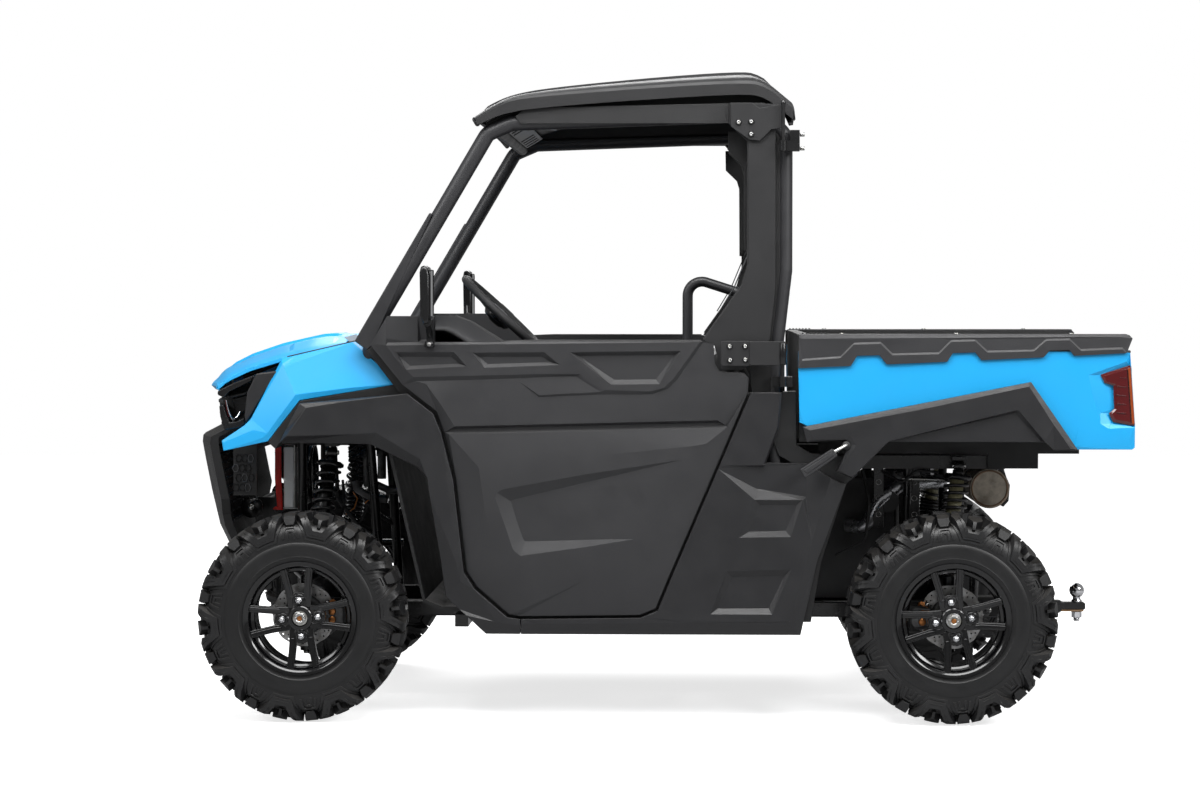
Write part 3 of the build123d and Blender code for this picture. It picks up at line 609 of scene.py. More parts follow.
def lug(bm, prof, width, hub_x, poly, height, flip, th0, draft=0.10):
    """One raised rubber block: poly is (theta, s) in degrees and mm along the skin; height(s) in mm."""
    pts = []
    n = len(poly)
    for i in range(n):
        a, b = poly[i], poly[(i + 1) % n]
        length = math.hypot((b[0] - a[0]) * 5.0, b[1] - a[1])
        k = max(1, int(length / 7.0))
        for j in range(k):
            pts.append((a[0] + (b[0] - a[0]) * j / k, a[1] + (b[1] - a[1]) * j / k))
    cx = sum(p[0] for p in pts) / len(pts)
    cs = sum(p[1] for p in pts) / len(pts)

    def place(th, s, h):
        r, y, nr, ny = skin_frame(prof, s)
        r2, y2 = r + nr * h, y + ny * h
        r2 = min(r2, TYRE_R - 0.3)
        y2 = max(y2, 0.4)
        if flip:
            y2 = width - y2
        return wheel_point(hub_x, r2, th0 + th, y2) * MM
    base, top = [], []
    m = len(pts)
    area = sum(pts[i][0] * pts[(i + 1) % m][1] - pts[(i + 1) % m][0] * pts[i][1] for i in range(m))
    sgn = 1.0 if area > 0 else -1.0
    for i, (th, s) in enumerate(pts):
        h = height(s)
        (ta, sa), (tb, sb) = pts[i - 1], pts[(i + 1) % m]
        dx, dy = (tb - ta) * 5.0, sb - sa
        ln = math.hypot(dx, dy) or 1.0
        nx, ny = -dy / ln * sgn, dx / ln * sgn            # inward
        ins = h * draft + 0.5
        base.append(bm.verts.new(place(th, s, -1.5)))
        top.append(bm.verts.new(place(th + nx * ins / 5.0, s + ny * ins, h)))
    for i in range(m):
        j = (i + 1) % m
        bm.faces.new([base[i], base[j], top[j], top[i]])
    res = delaunay_2d_cdt([Vector((p[0] * 5.0, p[1])) for p in pts], [(i, (i + 1) % m) for i in range(m)], [], 1, 1e-4)
    for f in res[2]:
        ids = [res[3][i][0] for i in f if res[3][i]]
        if len(ids) == 3:
            try:
                bm.faces.new([top[i] for i in ids])
            except ValueError:
                pass


def make_tyre(name, hub_x, width):
    prof = carcass(width)
    half = [(156, 11), (163, 10.8), (170, 10.2), (176, 9.0), (183, 7.4), (184.5, 6.2), (187, 7.2), (200, 4.6), (215, 4.4),
            (226, 5.6), (227, 6.6), (229, 6.0)] + prof[1:]
    inner = [(289, width / 2)] + [(r, width - y) for r, y in reversed(half[:-1])]
    outline = half + inner[1:]
    cap_in = [(156, width - 11), (156, width - 30), (200, width - 16), (280, width - 26), (288, width - 50),
              (288, 50), (280, 26), (200, 16), (156, 30)]
    profile = [(r, -y) for r, y in outline + cap_in[1:]]
    body = revolved(name + "_carcass", profile, (hub_x, TYRE_OUT, HUB_Z), (0, 1, 0), M["tyre"], seg=120)
    smooth_by_angle(body, 40)
    bm = bmesh.new()
    half_s = sum(math.hypot(b[0] - a[0], b[1] - a[1]) for a, b in zip(prof, prof[1:]))
    end = half_s - 4

    def tall(s):
        return 4.5 + 21.0 * max(0.0, min(1.0, (s - 14) / 44.0))

    def low(s):
        return 2.2 + 3.4 * max(0.0, min(1.0, (s - 10) / 60.0))
    for flip, off in ((False, 0.0), (True, 18.0)):
        for k in range(10):
            t0 = 12.0 + 36.0 * k + off
            # outer step and main band of the V-shaped lug
            lug(bm, prof, width, hub_x, [(-15.2, 74), (-7.6, 5), (7.6, 5), (15.2, 74), (12.0, 70), (5.6, 13), (-5.6, 13),
                                         (-12.0, 70)], low, flip, t0)
            lug(bm, prof, width, hub_x, [(-13.4, 100), (-14.2, 72), (-6.2, 14), (6.2, 14), (14.2, 72), (13.4, 100),
                                         (11.0, end - 12), (6.0, end - 14), (8.4, 86), (8.0, 72), (3.0, 34), (-3.0, 34),
                                         (-8.0, 72), (-8.4, 86), (-6.0, end - 14), (-11.0, end - 12)], tall, flip, t0)
            lug(bm, prof, width, hub_x, [(-10.2, 66), (-4.6, 21), (4.6, 21), (10.2, 66), (9.0, 66), (3.8, 25), (-3.8, 25),
                                         (-9.0, 66)], lambda s: tall(s) + 1.4, flip, t0)
            # block inside the V, with its pointed tail
            lug(bm, prof, width, hub_x, [(-4.6, 76), (-4.6, 66), (-1.4, 60), (-1.1, 45), (1.1, 45), (1.4, 60), (4.6, 66),
                                         (4.6, 76), (3.4, 96), (-3.4, 96)], lambda s: 6 + 19.5 * min(1, max(0, (s - 44) / 22)),
                flip, t0)
            # nested chevrons on the sidewall and the block over them
            lug(bm, prof, width, hub_x, [(11.6, 12), (14.2, 47), (21.8, 47), (24.4, 12), (22.4, 12), (20.6, 41), (15.4, 41),
                                         (13.6, 12)], low, flip, t0)
            lug(bm, prof, width, hub_x, [(14.9, 9), (16.3, 35), (19.7, 35), (21.1, 9), (19.5, 9), (18.9, 29), (17.1, 29),
                                         (16.5, 9)], low, flip, t0)
            lug(bm, prof, width, hub_x, [(14.3, 60), (15.6, 51), (20.4, 51), (21.7, 60), (21.9, 84), (20.6, 100),
                                         (15.4, 100), (14.1, 84)], lambda s: 6 + 19.5 * min(1, max(0, (s - 50) / 20)),
                flip, t0)
            # centre blocks
            lug(bm, prof, width, hub_x, [(15.0, end - 26), (21.0, end - 26), (23.6, end), (20.5, end), (18.0, end - 12),
                                         (15.5, end), (12.4, end)], lambda s: 25.0, flip, t0)
    lugs = from_bm(name + "_lugs", bm, M["tread"])
    bevel(lugs, 1.3, 1, 35)
    bm = bmesh.new()
    # small moulding vents and wear pips on the sidewall
    for k in range(20):
        th = 18.0 * k + 7
        for r, y in ((216, 4.0), (196, 4.4)):
            c = wheel_point(hub_x, r + (k % 3), th, y)
            q = [c + Vector((math.cos(a) * 1.1, 0, math.sin(a) * 1.1)) for a in [i * math.pi / 3 for i in range(6)]]
            lo = [bm.verts.new(p * MM) for p in q]
            hi = bm.verts.new((c + Vector((0, 1.5, 0))) * MM)
            for i in range(6):
                bm.faces.new([lo[i], lo[(i + 1) % 6], hi])
    pips = from_bm(name + "_pips", bm, M["tyre"])
    return join(name, [body, lugs, pips])


def spoke_face(bm, hub_x, outline, y_out, y_in):
    """Flat-topped cast shape: outline of wheel-plane points (right, up) with its own y at each end."""
    top = [bm.verts.new(Vector((hub_x - x, TYRE_OUT - yo, HUB_Z + z)) * MM) for x, z, yo in outline]
    bot = [bm.verts.new(Vector((hub_x - x, TYRE_OUT - yo - (y_in - y_out), HUB_Z + z)) * MM) for x, z, yo in outline]
    n = len(top)
    bm.faces.new(top)
    bm.faces.new(bot[::-1])
    for i in range(n):
        j = (i + 1) % n
        bm.faces.new([top[i], bot[i], bot[j], top[j]])


def make_rim(name, hub_x, width, turn):
    c = (hub_x, TYRE_OUT, HUB_Z)
    barrel = [(170, 3.6), (171.5, 6.0), (170.5, 9.5), (160, 10.5), (156, 11), (156, width - 11), (170, width - 9),
              (170, width - 4), (164, width - 4), (150.5, width - 12), (150.5, 70), (139, 62), (137, 56), (137, 40),
              (140, 36), (148.5, 32), (150, 20), (153, 12), (160, 6.5), (164, 4.2)]
    parts = []
    b = revolved(name + "_barrel", [(r, -y) for r, y in barrel], c, (0, 1, 0), M["rim"], seg=96)
    smooth_by_angle(b, 50)
    parts.append(b)
    bm = bmesh.new()
    for k in range(4):
        base = turn + 90.0 * k
        for sgn in (-1, 1):
            def at(lat, rad, yo):
                a = math.radians(base)
                x = rad * math.sin(a) + lat * sgn * math.cos(a)
                z = rad * math.cos(a) - lat * sgn * math.sin(a)
                return (x, z, yo)
            # one spoke: hub end, waist, rim end
            out = [at(12, 26, 27), at(20, 44, 27), at(16.0, 74, 25), at(28.5, 152, 13.5), at(50, 147, 13.5),
                   at(41, 96, 21), at(37, 62, 25), at(35, 31, 27)]
            spoke_face(bm, hub_x, out if sgn > 0 else out[::-1], 0, 19)
            # raised flat along the spoke's outer edge
            rib = [at(22, 58, 23.0), at(22.5, 80, 21), at(34.5, 149.5, 9.4), at(45, 147.5, 9.4), at(36.5, 94, 17.5), at(32, 58, 23.0)]
            spoke_face(bm, hub_x, rib if sgn > 0 else rib[::-1], 0, 8)
        # web round the lug nut
        def at0(lat, rad, yo):
            a = math.radians(base)
            return (rad * math.sin(a) + lat * math.cos(a), rad * math.cos(a) - lat * math.sin(a), yo)
        web = [at0(-22, 30, 28), at0(-21, 70, 27), at0(-9, 76, 27), at0(9, 76, 27), at0(21, 70, 27), at0(22, 30, 28)]
        spoke_face(bm, hub_x, web, 0, 16)
    spokes = from_bm(name + "_spokes", bm, M["rim"])
    bevel(spokes, 2.6, 3, 30)
    parts.append(spokes)
    # hub: flat centre, raised ring, nut seats
    hubp = [(0, 30), (46, 30), (49, 33), (49, 44), (0, 44)]
    h = revolved(name + "_hub", [(r, -y) for r, y in hubp], c, (0, 1, 0), M["rim"], seg=48)
    parts.append(h)
    ring = revolved(name + "_ring", [(r, -y) for r, y in [(25, 18.5), (33.5, 18.5), (37.0, 21), (38, 30.5), (25, 30.5), (24.5, 22)]],
                    c, (0, 1, 0), M["rim"], seg=48)
    bevel(ring, 0.8, 2)
    parts.append(ring)
    for k in range(4):
        a = math.radians(turn + 90 * k)
        p = (hub_x - 54 * math.sin(a), TYRE_OUT, HUB_Z + 54 * math.cos(a))
        seat = revolved(f"{name}_seat{k}", [(r, -y) for r, y in [(12.5, 24), (16.5, 24.2), (18, 26), (18.5, 29), (12.5, 29)]],
                        p, (0, 1, 0), M["rim"], seg=28)
        parts.append(seat)
        # chrome lug nut: hex skirt with a domed cap
        nut = revolved(f"{name}_nut{k}", [(r, -y) for r, y in [(0, 7.5), (3.5, 8), (6.4, 10.2), (7.6, 13.5), (7.8, 21), (9.6, 22), (10.8, 25), (10.8, 28), (0, 28)]],
                       p, (0, 1, 0), M["chrome"], seg=24)
        parts.append(nut)
        hexa = []
        for i in range(6):
            b2 = math.radians(60 * i + 15 * k)
            hexa.append((p[0] + 9.7 * math.cos(b2), p[2] + 9.7 * math.sin(b2)))
        hx = prism_y(f"{name}_hex{k}", hexa, TYRE_OUT - 25, TYRE_OUT - 13, M["chrome"], 1.2, 2)
        parts.append(hx)
    # zinc castle nut with its washer and split pin
    wash = revolved(name + "_washer", [(r, -y) for r, y in [(0, 21.5), (22, 21.5), (23.2, 22.6), (23.2, 25), (0, 25)]], c, (0, 1, 0),
                    M["zinc"], seg=40)
    parts.append(wash)
    hexa = [(hub_x + 19.5 * math.cos(math.radians(60 * i + 10)), HUB_Z + 19.5 * math.sin(math.radians(60 * i + 10))) for i in range(6)]
    parts.append(prism_y(name + "_castle", hexa, TYRE_OUT - 22, TYRE_OUT - 11.5, M["zinc"], 1.5, 2))
    crown = revolved(name + "_crown", [(r, -y) for r, y in [(8.5, 7.5), (14.5, 7.5), (15.5, 8.5), (15.5, 12), (8.5, 12)]], c, (0, 1, 0),
                     M["zinc"], seg=30)
    parts.append(crown)
    stub = revolved(name + "_stub", [(r, -y) for r, y in [(0, 9.0), (6.2, 9.0), (7.8, 10.4), (7.8, 14), (0, 14)]], c, (0, 1, 0), M["copper"], seg=24)
    parts.append(stub)
    for i in range(6):
        b2 = math.radians(60 * i + 10)
        q = [(hub_x + (9 * math.cos(b2) + u * math.sin(b2)), HUB_Z + (9 * math.sin(b2) - u * math.cos(b2))) for u in (-1.8, 1.8)]
        q += [(hub_x + (16.5 * math.cos(b2) - u * math.sin(b2)), HUB_Z + (16.5 * math.sin(b2) + u * math.cos(b2))) for u in (-1.8, 1.8)]
        parts.append(prism_y(f"{name}_slot{i}", q, TYRE_OUT - 11.6, TYRE_OUT - 7.2, M["steel"], 0))
    valve_a = math.radians(turn + 128)
    vp = Vector((hub_x - 141 * math.sin(valve_a), TYRE_OUT - 33, HUB_Z + 141 * math.cos(valve_a)))
    vd = Vector((0, 20, 0))
    parts.append(tube_mesh(name + "_valve", [vp, vp + vd * 0.5, vp + vd], [5, 4.4, 3.6], M["rubber"], 14))
    rim = join(name, parts)
    return rim


def make_disc(name, hub_x, disc_in=118.0):
    """Drilled brake disc with its carrier."""
    bm = bmesh.new()
    R, r0, t = 96.5, 60.0, 4.6
    seg = 96
    # holes: three staggered rings, left open through the disc
    holes = []
    for k in range(12):
        for r, off in ((69, 0), (78, 9), (87, 18)):
            holes.append((r, 30.0 * k + off))
            if r == 87:
                holes.append((r, 30.0 * k + 3))
    pts, edges = [], []
    for rr, n in ((R, seg), (r0, 48)):
        b = len(pts)
        for k in range(n):
            a = 2 * math.pi * k / n
            wob = (1.0 - 0.02 * (0.5 + 0.5 * math.cos(12 * a))) if rr == R else 1.0
            pts.append(Vector((rr * wob * math.cos(a), rr * wob * math.sin(a))))
        edges += [(b + k, b + (k + 1) % n) for k in range(n)]
    cents = []
    for r, th in holes:
        a = math.radians(th)
        cx, cy = r * math.cos(a), r * math.sin(a)
        cents.append((cx, cy))
        b = len(pts)
        for k in range(10):
            q = 2 * math.pi * k / 10
            pts.append(Vector((cx + 2.9 * math.cos(q), cy + 2.9 * math.sin(q))))
        edges += [(b + k, b + (k + 1) % 10) for k in range(10)]
    res = delaunay_2d_cdt(pts, edges, [], 1, 1e-4)
    v2, faces = res[0], res[2]
    tops = {}
    for lvl in (0, t):
        tops[lvl] = [bm.verts.new(Vector((hub_x + v.x, TYRE_OUT - disc_in - lvl, HUB_Z + v.y)) * MM) for v in v2]
    cnt = {}
    for f in faces:
        c = sum((v2[i] for i in f), Vector((0, 0))) / len(f)
        if c.length < r0 or any((c.x - a) ** 2 + (c.y - b) ** 2 < 2.7 ** 2 for a, b in cents):
            continue
        bm.faces.new([tops[0][i] for i in f])
        bm.faces.new([tops[t][i] for i in reversed(f)])
        for i, j in zip(f, f[1:] + f[:1]):
            cnt[(min(i, j), max(i, j))] = cnt.get((min(i, j), max(i, j)), 0) + 1
    for (i, j), n in cnt.items():
        if n == 1:
            bm.faces.new([tops[0][i], tops[0][j], tops[t][j], tops[t][i]])
    for v in list(bm.verts):
        if not v.link_faces:
            bm.verts.remove(v)
    disc = from_bm(name + "_plate", bm, M["steel"], smooth=False)
    c = (hub_x, TYRE_OUT, HUB_Z)
    hat = revolved(name + "_hat", [(r, -y) for r, y in [(62, disc_in - 1), (62, disc_in + 6), (30, disc_in + 6), (30, disc_in - 2),
                                                        (38, disc_in - 6), (44, disc_in - 24), (44, 43), (30, 43), (30, disc_in - 8),
                                                        (30, disc_in - 4)]][:4] + [(r, -y) for r, y in [(50, disc_in - 3)]], c, (0, 1, 0), M["cast"], seg=40)
    neck = revolved(name + "_neck", [(r, -y) for r, y in [(20, 43), (44, 43), (44, 62), (38, 80), (38, disc_in), (20, disc_in)]], c, (0, 1, 0),
                    M["engine"], seg=40)
    return join(name, [disc, hat, neck])


for tag, hx, w, turn, node in (("front", FRONT_X, 208.0, -4.0, "front"), ("rear", REAR_X, 254.0, -8.0, "rear")):
    ty = make_tyre(f"{tag}_tyre", hx, w)
    both_sides(ty, f"{tag}_tyre_visual", f"wheel_{node}_left", f"wheel_{node}_right",
               (f"tyre_{node}_left",), (f"tyre_{node}_right",))
    rm = make_rim(f"{tag}_rim", hx, w, turn)
    both_sides(rm, f"{tag}_rim_visual", f"wheel_{node}_left", f"wheel_{node}_right",
               (f"wheel_rim_{node}_left",), (f"wheel_rim_{node}_right",))
    dc = make_disc(f"{tag}_disc", hx)
    both_sides(dc, f"{tag}_disc_visual", f"wheel_{node}_left", f"wheel_{node}_right",
               (f"wheel_rim_{node}_left",), (f"wheel_rim_{node}_right",))

# ---------------------------------------------------------------- doors
def D(cx, cy, d=0.0, y=698.0):
    """Door relief point: enlarged side-view place of the door and its depth."""
    x, z = P(350 + cx / 3.824, 290 + cy / 3.824, y)
    return (x, z, d)


DOOR_LINE = [(798, 1216, 10), (849, 1130, 16), (753, 1011, 16), (650, 931, 18), (627, 868, 20), (592, 728, 20), (560, 453, 20),
             (529, 405, 18), (433, 323, 14), (405, 318, 12), (43, 323, 10), (-5, 343, 10), (-39, 425, 11), (-185, 765, 14),
             (-280, 990, 14), (-282, 1032, 12), (-268, 1047, 12), (-196, 1050, 12), (-181, 1075, 10), (-178, 1133, 8),
             (-146, 1142, 7), (369, 1142, 7), (452, 1139, 7), (548, 1199, 9), (592, 1216, 10)]


def make_door():
    L = []
    # raised upper panel: wavy front edge, then the belt strip
    wavy = [D(150, 97, 9), D(133, 185, 5), D(133, 210, 3), D(165, 243, 3), D(171, 262, 3), D(205, 300, 3), D(240, 334, 3)]
    wavy2 = [D(250, 350, 9), D(287, 360, 7), D(345, 440, 7), D(397, 523, 7)]
    L.append(wavy + [D(250, 350, 9)])
    L.append(wavy2)
    # top of the belt strip
    L.append([D(133, 212, 3), D(300, 210, 3), D(740, 206, 3), D(1330, 199, 3)])
    L.append([D(142, 202, 8), D(262, 200, 8)])
    L.append([D(318, 200, 8), D(700, 196, 8)])
    # three pockets
    for outer, inner, dep in (
            ([(172, 238), (395, 238), (444, 292), (212, 306)], [(186, 256), (384, 256), (414, 282), (226, 291)], 13),
            ([(466, 240), (742, 238), (803, 287), (512, 298)], [(492, 256), (730, 255), (768, 276), (524, 284)], 13),
            ([(840, 238), (1266, 233), (1184, 360), (998, 362)], [(874, 252), (1240, 249), (1170, 342), (1010, 344)], 14)):
        o = [D(a, b, 3) for a, b in outer]
        i = [D(a, b, dep) for a, b in inner]
        L.append(o + o[:1])
        L.append(i + i[:1])
    # belt crease, the panel below it and the line round the third pocket
    L.append([D(240, 334, 3), D(735, 322, 3), D(882, 322, 3), D(975, 383, 3), D(1150, 388, 3), D(1200, 374, 3), D(1238, 338, 3), D(1338, 199, 3)])
    L.append([D(250, 350, 9), D(500, 344, 9), D(720, 334, 9), D(862, 330, 9)])
    L.append([D(645, 350, 8), D(722, 403, 5), D(958, 390, 5), D(862, 330, 9)])
    L.append([D(722, 410, 9), D(975, 400, 9), D(1155, 399, 9), D(1216, 378, 9), D(1252, 342, 9), D(1348, 203, 9)])
    # lower lip of the upper panel and the groove
    L.append([D(397, 523, 7), D(800, 513, 7), D(1405, 498, 7), D(1522, 324, 8), D(1440, 318, 8), D(1408, 296, 8), D(1402, 210, 8), D(1385, 199, 8)])
    L.append([D(392, 533, 19), D(800, 523, 19), D(1412, 508, 19)])
    L.append([D(380, 544, 19), D(800, 535, 19), D(1440, 520, 19)])
    # lower panel: top facet, left and right facets
    L.append([D(374, 552, 11), D(800, 543, 10), D(1440, 527, 11)])
    L.append([D(490, 680, 1), D(900, 640, 0.6), D(1300, 598, 0.6), D(1362, 588, 1)])
    L.append([D(374, 552, 11), D(490, 680, 1)])
    L.append([D(1440, 527, 11), D(1362, 588, 1)])
    L.append([D(490, 680, 1), D(512, 830, 1), D(545, 1010, 1.5), D(590, 1062, 1.5), D(700, 1092, 0.6), D(900, 1112, 0.2)])
    L.append([D(545, 1010, 1.5), D(592, 1110, 4), D(640, 1236, 7)])
    L.append([D(1362, 588, 1), D(1300, 720, 1), D(1262, 850, 1), D(1195, 950, 1.5), D(1172, 1080, 2.5), D(1140, 1190, 6)])
    # big window-like recess
    L.append([D(1268, 650, 0.6), D(900, 706, 0), D(585, 764, 0.6), D(560, 776, 0.6), D(553, 798, 0.6), D(590, 900, 0.6), D(622, 996, 0.6),
              D(630, 1012, 0.6), D(650, 1020, 0.6), D(900, 985, 0), D(1087, 955, 0.6)])
    L.append([D(1268, 650, 0.6), D(1100, 690, 6), D(900, 738, 11), D(618, 806, 16), D(612, 812, 16), D(640, 900, 16), D(660, 958, 16), D(668, 966, 16),
              D(860, 960, 10), D(1000, 955, 4), D(1087, 955, 0.6)])
    # mirror channel in the raised corner
    ch = [D(262, 96, 22), D(318, 96, 22), D(318, 206, 20), D(262, 206, 20)]
    L.append([D(256, 93, 9), D(256, 200, 8)])
    L.append([D(324, 93, 9), D(324, 200, 8)])
    L.append([D(266, 96, 20), D(268, 190, 20), D(312, 190, 20), D(314, 96, 20)])
    ob = crease_panel("door_panel", DOOR_LINE, L, 700.0, 33, M["door"], bev=2.6, seg=2, angle=14, back=667)
    upright = [(-361, 1846, 3), (-225, 1850, 3), (-225, 1790, 3), (-280, 1738, 3), (-281, 1369, 3), (-263, 1309, 3), (-146, 1144, 3),
               (-180, 1128, 3), (-200, 1056, 3), (-262, 1056, 3), (-326, 1100, 3), (-345, 1150, 3), (-361, 1294, 3)]
    inner = [(-352, 1832, 0), (-238, 1836, 0), (-238, 1794, 0), (-291, 1742, 0), (-292, 1366, 0), (-274, 1303, 0), (-163, 1147, 0),
             (-192, 1122, 0), (-209, 1070, 0), (-258, 1070, 0), (-318, 1108, 0), (-335, 1154, 0), (-350, 1296, 0)]
    up = crease_panel("door_upright", upright, [], 684.0, 14, M["roof"], bev=1.6, seg=2, angle=12,
                      back=668)
    # rubber edge seal along the upright and the top of the door
    seal = tube_mesh("door_seal", [Vector((-224, 676, 1848)), Vector((-224, 676, 1790)), Vector((-279, 676, 1737)), Vector((-280, 676, 1369)),
                                   Vector((-262, 676, 1308)), Vector((-150, 676, 1150))], 3.2, M["rubber"], 10)
    top_seal = tube_mesh("belt_seal", [Vector((-140, 676, 1141.5)), Vector((369, 676, 1141.5)), Vector((450, 676, 1138.5)), Vector((546, 676, 1198)), Vector((592, 676, 1215))],
                         4.0, M["rubber"], 10)
    return [ob, up, seal, top_seal]


def make_mirror():
    """Near-side mirror: thin arm, ball socket, deep shell with a raised rim and the glass facing back."""
    out = []
    # the head as the side view shows it: a slim shell leaning back at the top
    shell = [(674, 1192), (685, 1215), (687, 1345), (683, 1362), (673, 1366), (663, 1360), (658, 1342), (656, 1225), (660, 1196)]
    bm = bmesh.new()
    rings = []
    for y, k, dz in ((722, 0.72, 10), (726, 0.94, 3), (736, 1.0, 0), (826, 1.0, 0), (836, 0.94, 3), (840, 0.72, 10)):
        cx, cz = 671, 1279
        rings.append([bm.verts.new(Vector((cx + (x - cx) * (0.9 if k < 0.9 else 1.0) * k, y, cz + (z - cz) * (1 - (1 - k) * 0.35))) * MM) for x, z in shell])
    n = len(shell)
    for r1, r2 in zip(rings, rings[1:]):
        for i in range(n):
            j = (i + 1) % n
            bm.faces.new([r1[i], r1[j], r2[j], r2[i]])
    bm.faces.new(rings[0][::-1])
    bm.faces.new(rings[-1])
    sh = from_bm("mirror_shell", bm, M["smooth_black"])
    bevel(sh, 4, 3, 25)
    out.append(sh)
    rim = rounded_path([Vector((656, 730, 1206)), Vector((656, 832, 1206)), Vector((656, 832, 1352)), Vector((656, 730, 1352))], 14)
    out.append(tube_mesh("mirror_rim", [Vector(p) for p in rim], 2.6, M["smooth_black"], 8, closed=True))
    g = new_mesh("mirror_glass", [(655.4, y, z) for y, z in ((738, 1206), (826, 1206), (832, 1214), (832, 1346), (826, 1352), (738, 1352), (731, 1346), (731, 1214))],
                 [tuple(range(8))], M["mirror"], False)
    out.append(g)
    arm = [Vector((668, 708, 1156)), Vector((669, 722, 1170)), Vector((669, 748, 1186)), Vector((670, 770, 1200))]
    out.append(tube_mesh("mirror_arm", arm, [9, 9, 8.5, 10], M["smooth_black"], 16))
    # post up the channel in the door's raised corner, with its clamp
    post = rounded_path([(669, 704, 1126), (669, 706, 1215), (671, 716, 1240)], 16)
    out.append(tube_mesh("mirror_post", [Vector(p) for p in post], 9.5, M["smooth_black"], 18))
    out.append(revolved("mirror_foot", [(0, -9), (14, -9), (15.5, -7), (15.5, 5), (13, 9), (0, 9)], (669, 704, 1132), (0, 0, 1), M["smooth_black"], seg=28))
    out.append(revolved("mirror_bolt", [(0, -6), (5.8, -6), (6.4, -5), (6.4, 5), (5, 8), (0, 8)], (669, 716, 1132), (0, 1, 0), M["steel"], seg=16))
    out.append(revolved("mirror_ball", [(0, -15), (8, -13), (13, -7), (14.5, 0), (13, 7), (8, 13), (0, 15)], (670, 772, 1200), (0, 0, 1), M["rubber"], seg=28))
    return out


dp = join("door_visual", make_door())
both_sides(dp, "door_visual", "door_left", "door_right", ("door_left",), ("door_right",))
mp = join("mirror_visual", make_mirror())
both_sides(mp, "mirror_visual", "door_left", "door_right", ("mirror_left",), ("mirror_right",))
# ---------------------------------------------------------------- front end
def F(cx, cy, d=0.0, y=645.0):
    """Front relief point: enlarged side-view place of the front corner and its depth."""
    x, z = P(200 + cx / 4.614, 300 + cy / 4.614, y)
    return (x, z, d)


def make_flare():
    out = [(1062, 954, 12), (738, 984, 9), (660, 924, 4), (636, 866, 3), (601, 727, 3), (569, 450, 3), (536, 398, 3), (438, 314, 3),
           (400, 309, 3), (400, 264, 9), (503, 264, 12), (624, 374, 15), (640, 490, 16), (680, 731, 16), (710, 765, 17), (850, 832, 20),
           (1125, 836, 24), (1106, 872, 20)]
    L = [[F(480, 500, 1, 698), F(700, 465, 0, 698), F(968, 424, 1, 698), D(345, 482, 0.5)],
         [F(455, 470, 12, 690), F(480, 500, 1, 698), F(388, 632, 1, 698), F(330, 645, 20, 690)],
         [F(388, 632, 1, 698), F(700, 622, 0, 698), D(95, 548, 0.5), D(350, 538, 0)],
         [D(95, 548, 0.5), D(262, 648, 1), D(292, 722, 1), D(312, 900, 1), D(352, 1180, 1.5), D(440, 1250, 2), (506, 284, 6)],
         [D(352, 1180, 1.5), D(372, 1204, 1), (470, 300, 2), (400, 290, 2)],
         [D(350, 538, 0), D(366, 700, 0.5), D(400, 1040, 0.5), D(418, 1120, 0.5)],
         [D(240, 385, 7), D(345, 482, 0.5), D(350, 538, 0)]]
    ob = crease_panel("front_flare_skin", out, L, 700.0, 40, M["fender"], bev=2.2, seg=2, angle=10, back=655)
    return ob


def make_fender():
    out = [(1128, 1087, 52), (912, 1137, 42), (766, 1012, 4), (1068, 962, 4), (1165, 838, 6), (1302, 808, 20), (1308, 839, 26),
           (1237, 886, 22), (1218, 906, 24)]
    L = [[F(365, 297, 38), F(440, 250, 44), F(560, 222, 46), F(700, 192, 40)],
         [F(930, 376, 1), F(700, 405, 0.5), F(470, 434, 0.5), F(432, 440, 0.5), F(300, 618, 3), F(276, 640, 5), F(232, 604, 12), F(200, 578, 22)],
         [F(276, 640, 4), F(90, 662, 22)],
         [F(432, 440, 0.5), F(372, 310, 34)],
         [F(300, 618, 2), F(232, 604, 12)]]
    fen = crease_panel("front_fender_skin", out, L, 645.0, 140, M["blue"], bev=3.0, seg=3, angle=9, back=508)
    return fen


def hood_height(x, y):
    lines = {492: [(948, 1134), (1060, 1114), (1148, 1092), (1240, 1064), (1300, 1036), (1340, 1012)],
             330: [(948, 1148), (1060, 1138), (1160, 1115), (1270, 1076), (1340, 1046), (1382, 1010)],
             120: [(948, 1156), (1060, 1151), (1190, 1122), (1290, 1088), (1370, 1048), (1414, 1008)]}
    def on(line, t):
        x0, x1 = line[0][0], line[-1][0]
        xx = x0 + (x1 - x0) * t
        for (a, za), (b, zb) in zip(line, line[1:]):
            if xx <= b:
                return xx, za + (zb - za) * (xx - a) / (b - a)
        return line[-1]
    ay = abs(y)
    t = x
    if ay >= 330:
        k = (492 - ay) / 162.0
        (xa, za), (xb, zb) = on(lines[492], t), on(lines[330], t)
    elif ay >= 120:
        k = (330 - ay) / 210.0
        (xa, za), (xb, zb) = on(lines[330], t), on(lines[120], t)
    else:
        k = 1.0
        (xa, za), (xb, zb) = on(lines[330], t), on(lines[120], t)
    return xa + (xb - xa) * k, za + (zb - za) * k


